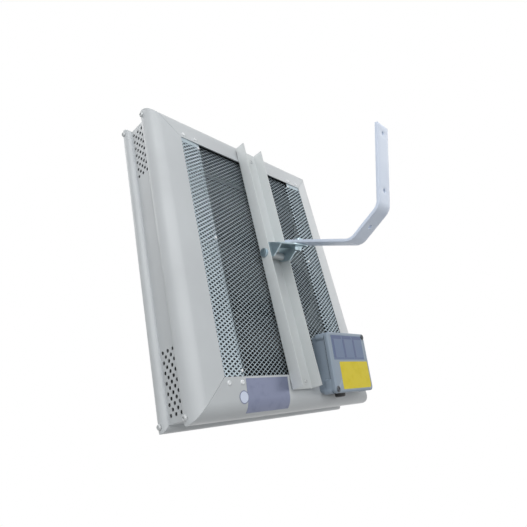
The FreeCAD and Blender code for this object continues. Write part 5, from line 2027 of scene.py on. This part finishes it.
    def gland(self) -> None:
        """Cable gland in the lower wall: six-sided collar, ribbed dome nut and an open bore."""
        wall = self.middle - self.lid_high / 2 + self.base_inset
        place = self.place.at((-self.gland_side, wall, self.gland_up), facing((0, -1, 0)))
        radius, height = np.array(self.gland_dome).T[..., None]
        outside = (radius > self.gland_mouth) * np.clip((self.rib_end - height) / self.rib_fade, 0, 1)
        wave = (1 + np.cos(self.ribs * turns(self.rib_sides))) / 2
        dome = lathe(self.gland_dome, self.rib_sides, 1 - self.rib_deep * outside * wave, True)
        neck = hoop(self.gland_bore, self.gland_neck, -self.gland_neck_long, 0)
        gland = united([self.gland_collar.shell(), dome, neck]).placed(place)
        Piece("gland_body", gland, BLACK_PLASTIC, Slot.BLACK, "cable_gland")


# Lamps

@dataclass
class Lamps:
    """Three quartz lamps with coiled filaments before bright troughs."""

    pitch: float = 156.0
    level: float = -76.0
    plate: float = 190.3
    holder: float = 12.0
    cap_long: float = 18.0
    cap_radius: float = 7.5
    cap_inner: Profile = ((0.75, 0.0), (0.92, 0.5), (1.0, 1.6))
    cap_outer: Profile = ((1.0, 0.4), (0.97, 0.0))
    tube_radius: float = 5.5
    tube_wall: float = 1.0
    coil_radius: float = 1.3
    coil_wire: float = 0.5
    coil_pitch: float = 2.6
    coil_steps: int = 10
    coil_sides: int = 5
    trough_mouth: float = 150.0
    trough_deep: float = 42.0
    trough_front: float = -94.0
    trough_sheet: float = 0.8
    trough_steps: int = 36
    lip_gap: float = 0.1
    shade_seal_end: float = 238.3
    shade_seal_deep: float = 3.0

    @property
    def half(self) -> float:
        """Half the length of a lamp's tube."""
        return self.plate - self.holder - self.cap_long

    def build(self) -> None:
        """Build the dark strips that partly stand in for shade, then the troughs, tubes, coils and caps."""
        self.shade_seals()
        rows = {"top": self.pitch, "middle": 0.0, "bottom": -self.pitch}
        tube_shell = hoop(self.tube_radius - self.tube_wall, self.tube_radius, -self.half, self.half)
        for name, up in rows.items():
            self.trough(name, up)
            quartz = tube_shell.placed(HEATER.at((0, self.level, up), ACROSS))
            Piece(f"quartz_tube_{name}", quartz, QUARTZ, Slot.QUARTZ, f"lamp_tube_{name}")
        coils = [self.coil().placed(HEATER.at((0, self.level, up))) for up in rows.values()]
        Piece("filament_coils", united(coils), FILAMENT, Slot.FILAMENT, "lamp_filaments")
        cap = self.cap()
        caps = [cap.placed(HEATER.at((side * self.half, self.level, up), facing((side, 0, 0))))
                for up in rows.values() for side in (1, -1)]
        Piece("ceramic_caps", united(caps), CERAMIC, Slot.CERAMIC, "lamp_caps")

    def shade_seals(self) -> None:
        """Dark rubber strips that close the slots between the outer troughs and the rails: partly a seal,
        partly painted shade where the slots would show the rails' lit lips.
        """
        low, high = 1.5 * self.pitch, self.shade_seal_end
        front, back = self.trough_front - self.shade_seal_deep / 2, self.trough_front + self.shade_seal_deep / 2
        line = np.array([(front, low), (back, low), (back, high), (front, high)])
        strips = [bar(carried(line * (1, end), np.array([-self.plate, self.plate]), 0)) for end in (1, -1)]
        Piece("trough_shade_seals", united(strips).placed(HEATER), RUBBER, Slot.RUBBER)

    def coil(self) -> Shell:
        """Wire wound along x: at length u it stands at the coil's radius, turned by u over the pitch.

        Returns:
            The coil.
        """
        rounds = 2 * self.half / self.coil_pitch
        share = np.linspace(0, 1, int(rounds * self.coil_steps))
        angle = 2 * math.pi * rounds * share
        path = np.stack([self.half * (2 * share - 1), self.coil_radius * np.cos(angle),
                         self.coil_radius * np.sin(angle)], 1)
        return tube(path, self.coil_wire, self.coil_sides)

    def cap(self) -> Shell:
        """Ceramic cap with a rounded inner end, from the tube's end outwards.

        Its ends are given as shares of the radius and distances from that end.

        Returns:
            The cap.
        """
        end = self.cap_long
        rim = [*self.cap_inner, *[(share, end - short) for share, short in self.cap_outer]]
        return lathe([(0, 0), *[(self.cap_radius * share, height) for share, height in rim], (0, end)])

    def trough(self, name: str, up: float) -> None:
        """Trough as an arc through its mouth's edges and its deepest line, carried across, with flat lips.

        Args:
            name: Which trough it is.
            up: Its middle up the panel.
        """
        side = self.trough_mouth / 2
        radius = (side ** 2 + self.trough_deep ** 2) / (2 * self.trough_deep)
        hub = self.trough_front + self.trough_deep - radius
        swing = math.degrees(math.asin(side / radius))
        lip = self.pitch / 2 - self.lip_gap
        line = np.concatenate([[(self.trough_front, -lip)],
                               arc((hub, 0), radius, -swing, swing, self.trough_steps),
                               [(self.trough_front, lip)]])
        points = carried(line + (0, up), np.linspace(-self.plate, self.plate, 3), 0)
        shell = grid(points).turned_out((0, self.trough_front, up)).placed(HEATER)
        # The trough's outside is near black, partly painted shade for the heater's dark inside.
        piece = Piece(f"trough_{name}", shell, TROUGH_BACK_SHADE, Slot.REFLECTOR, f"reflector_{name}")
        piece.thickened(self.trough_sheet, REFLECTOR)


@dataclass
class Guard:
    """Welded wire guard: a round-cornered frame, upright bars and two cross wires."""

    half_width: float = 189.0
    half_height: float = 236.0
    level: float = -99.5
    frame_wire: float = 5.0
    frame_sides: int = 14
    corner: float = 14.0
    corner_steps: int = 8
    bar: float = 3.0
    bars: int = 17
    bar_sides: int = 12
    cross: float = 4.0
    cross_up: float = 78.0
    weld: float = 0.3

    def build(self) -> None:
        """Build every wire and join them."""
        outline = rounded_rectangle(2 * self.half_width, 2 * self.half_height, self.corner, self.corner_steps)
        wires = [tube(np.insert(outline, 1, self.level, axis=1), self.frame_wire, self.frame_sides, True)]
        for x in np.linspace(-self.half_width, self.half_width, self.bars + 2)[1:-1]:
            line = [(x, self.level, end * self.half_height) for end in (-1, 0, 1)]
            wires.append(tube(line, self.bar, self.bar_sides))
        behind = self.level + (self.bar + self.cross) / 2 - self.weld
        for side in (1, -1):
            line = [(end * self.half_width, behind, side * self.cross_up) for end in (-1, 0, 1)]
            wires.append(tube(line, self.cross, self.bar_sides))
        Piece("guard_wires", united(wires).placed(HEATER), GUARD_WIRE, Slot.GUARD, "guard_grille")


# Nodes of the frame that are kept as they are, by finish

KEPT_NODES = {
    GALVANISED: ["end_plate_left", "end_plate_right", "corner_gussets"],
    CERAMIC: ["lamp_holders"],
    LOOM: ["wiring_loom_left", "wiring_loom_right"],
    RUBBER: ["loom_grommets", "box_gasket"],
    TERMINAL: ["terminal_block"],
    BLACK_PLASTIC: ["gland_nut"],
    BOX_ZINC: ["box_screws"],
}


# Studio

def aimed(thing: bpy.types.Object, spot: Spot, target: Spot, roll: float = 0.0) -> None:
    """Stand a lamp or a camera somewhere and point it.

    Args:
        thing: The lamp or camera.
        spot: Where it stands, in metres.
        target: Where it points.
        roll: Its turn about its own line of sight, in degrees.
    """
    level = (Vector(target) - Vector(spot)).to_track_quat("-Z", "Y")
    thing.location = spot
    thing.rotation_mode = "QUATERNION"
    thing.rotation_quaternion = level @ Quaternion((0, 0, 1), math.radians(roll))


@dataclass(frozen=True)
class Lamp:
    """Soft flat lamp that faces the heater, with its place and sides in metres and its power in watts."""

    name: str
    spot: tuple[float, float, float]
    sides: tuple[float, float]
    power: float

    def build(self) -> None:
        """Hang the lamp, out of the camera's sight."""
        light = bpy.data.lights.new(self.name, "AREA")
        light.shape = "RECTANGLE"
        light.size, light.size_y = self.sides
        light.energy = self.power
        thing = linked(self.name, light)
        aimed(thing, self.spot, HEATER.origin)
        thing.visible_camera = False


@dataclass
class Studio:
    """Pale floor well below the heater, white surroundings, soft lamps and the camera."""

    floor_level: float = -2.4
    floor_sides: int = 64
    ambient: float = 0.29
    lamps: tuple[Lamp, ...] = (
        Lamp("key", (1.15, 1.35, 1.2), (2.4, 2.4), 35.5),
        Lamp("strip", (1.65, 0.14, 0.78), (0.35, 1.6), 5.8),
        Lamp("side", (-1.6, 0.3, 0.6), (1.5, 1.5), 7.0),
        Lamp("front", (0.4, -2.0, 0.9), (1.6, 1.6), 11.0),
    )
    camera_at: tuple[float, float, float] = (0.63425, 0.32607, -0.30005)
    camera_aim: tuple[float, float, float] = (0.00772, -0.2484, -0.13936)
    camera_roll: float = 1.309
    camera_lens: float = 31.2568
    camera_sensor: float = 36.0
    camera_near: float = 0.01

    def build(self) -> None:
        """Build everything round the heater."""
        self.floor()
        self.world()
        for lamp in self.lamps:
            lamp.build()
        self.camera()

    def floor(self) -> None:
        """Round floor, white to the camera and able to hold a shadow."""
        turn = turns(self.floor_sides)
        rim = FLOOR.radius * np.stack([np.cos(turn), np.sin(turn)], 1)
        mesh = bpy.data.meshes.new("floor")
        points = np.insert(rim, 2, self.floor_level, axis=1)
        mesh.from_pydata(points.tolist(), [], [list(range(self.floor_sides))])
        mesh.materials.append(material_of(FLOOR))
        linked("floor", mesh)

    def world(self) -> None:
        """White to the camera, to reflections and through glass, and a softer white as light."""
        shader = Shader("studio", world=True)
        soft, white = [shader.glow("ShaderNodeBackground", strength) for strength in (self.ambient, 1.0)]
        bpy.context.scene.world = shader.end(shader.blend(shader.seen(), soft, white))

    def camera(self) -> None:
        """Camera at the photograph's viewing angle."""
        lens = bpy.data.cameras.new("camera")
        lens.sensor_width = self.camera_sensor
        lens.lens = self.camera_lens
        lens.clip_start = self.camera_near
        view = linked("camera", lens)
        aimed(view, self.camera_at, self.camera_aim, self.camera_roll)
        bpy.context.scene.camera = view
        bpy.context.scene.view_settings.view_transform = "Standard"


def main() -> None:
    """Build the heater in order, then its surroundings."""
    logging.basicConfig(level=logging.INFO, format="%(name)s: %(message)s")
    case = Case(RailSection())
    mesh = RearMesh()
    case.build()
    Markings(case).build()
    mesh.build()
    Channel().build()
    Strap().build()
    Knuckle().build()
    Fasteners(case, mesh).build()
    TerminalBox(case).build()
    Lamps().build()
    Guard().build()
    for finish, nodes in KEPT_NODES.items():
        for node in nodes:
            dress_node(node, finish)
    Studio().build()


if __name__ == "__main__":
    main()
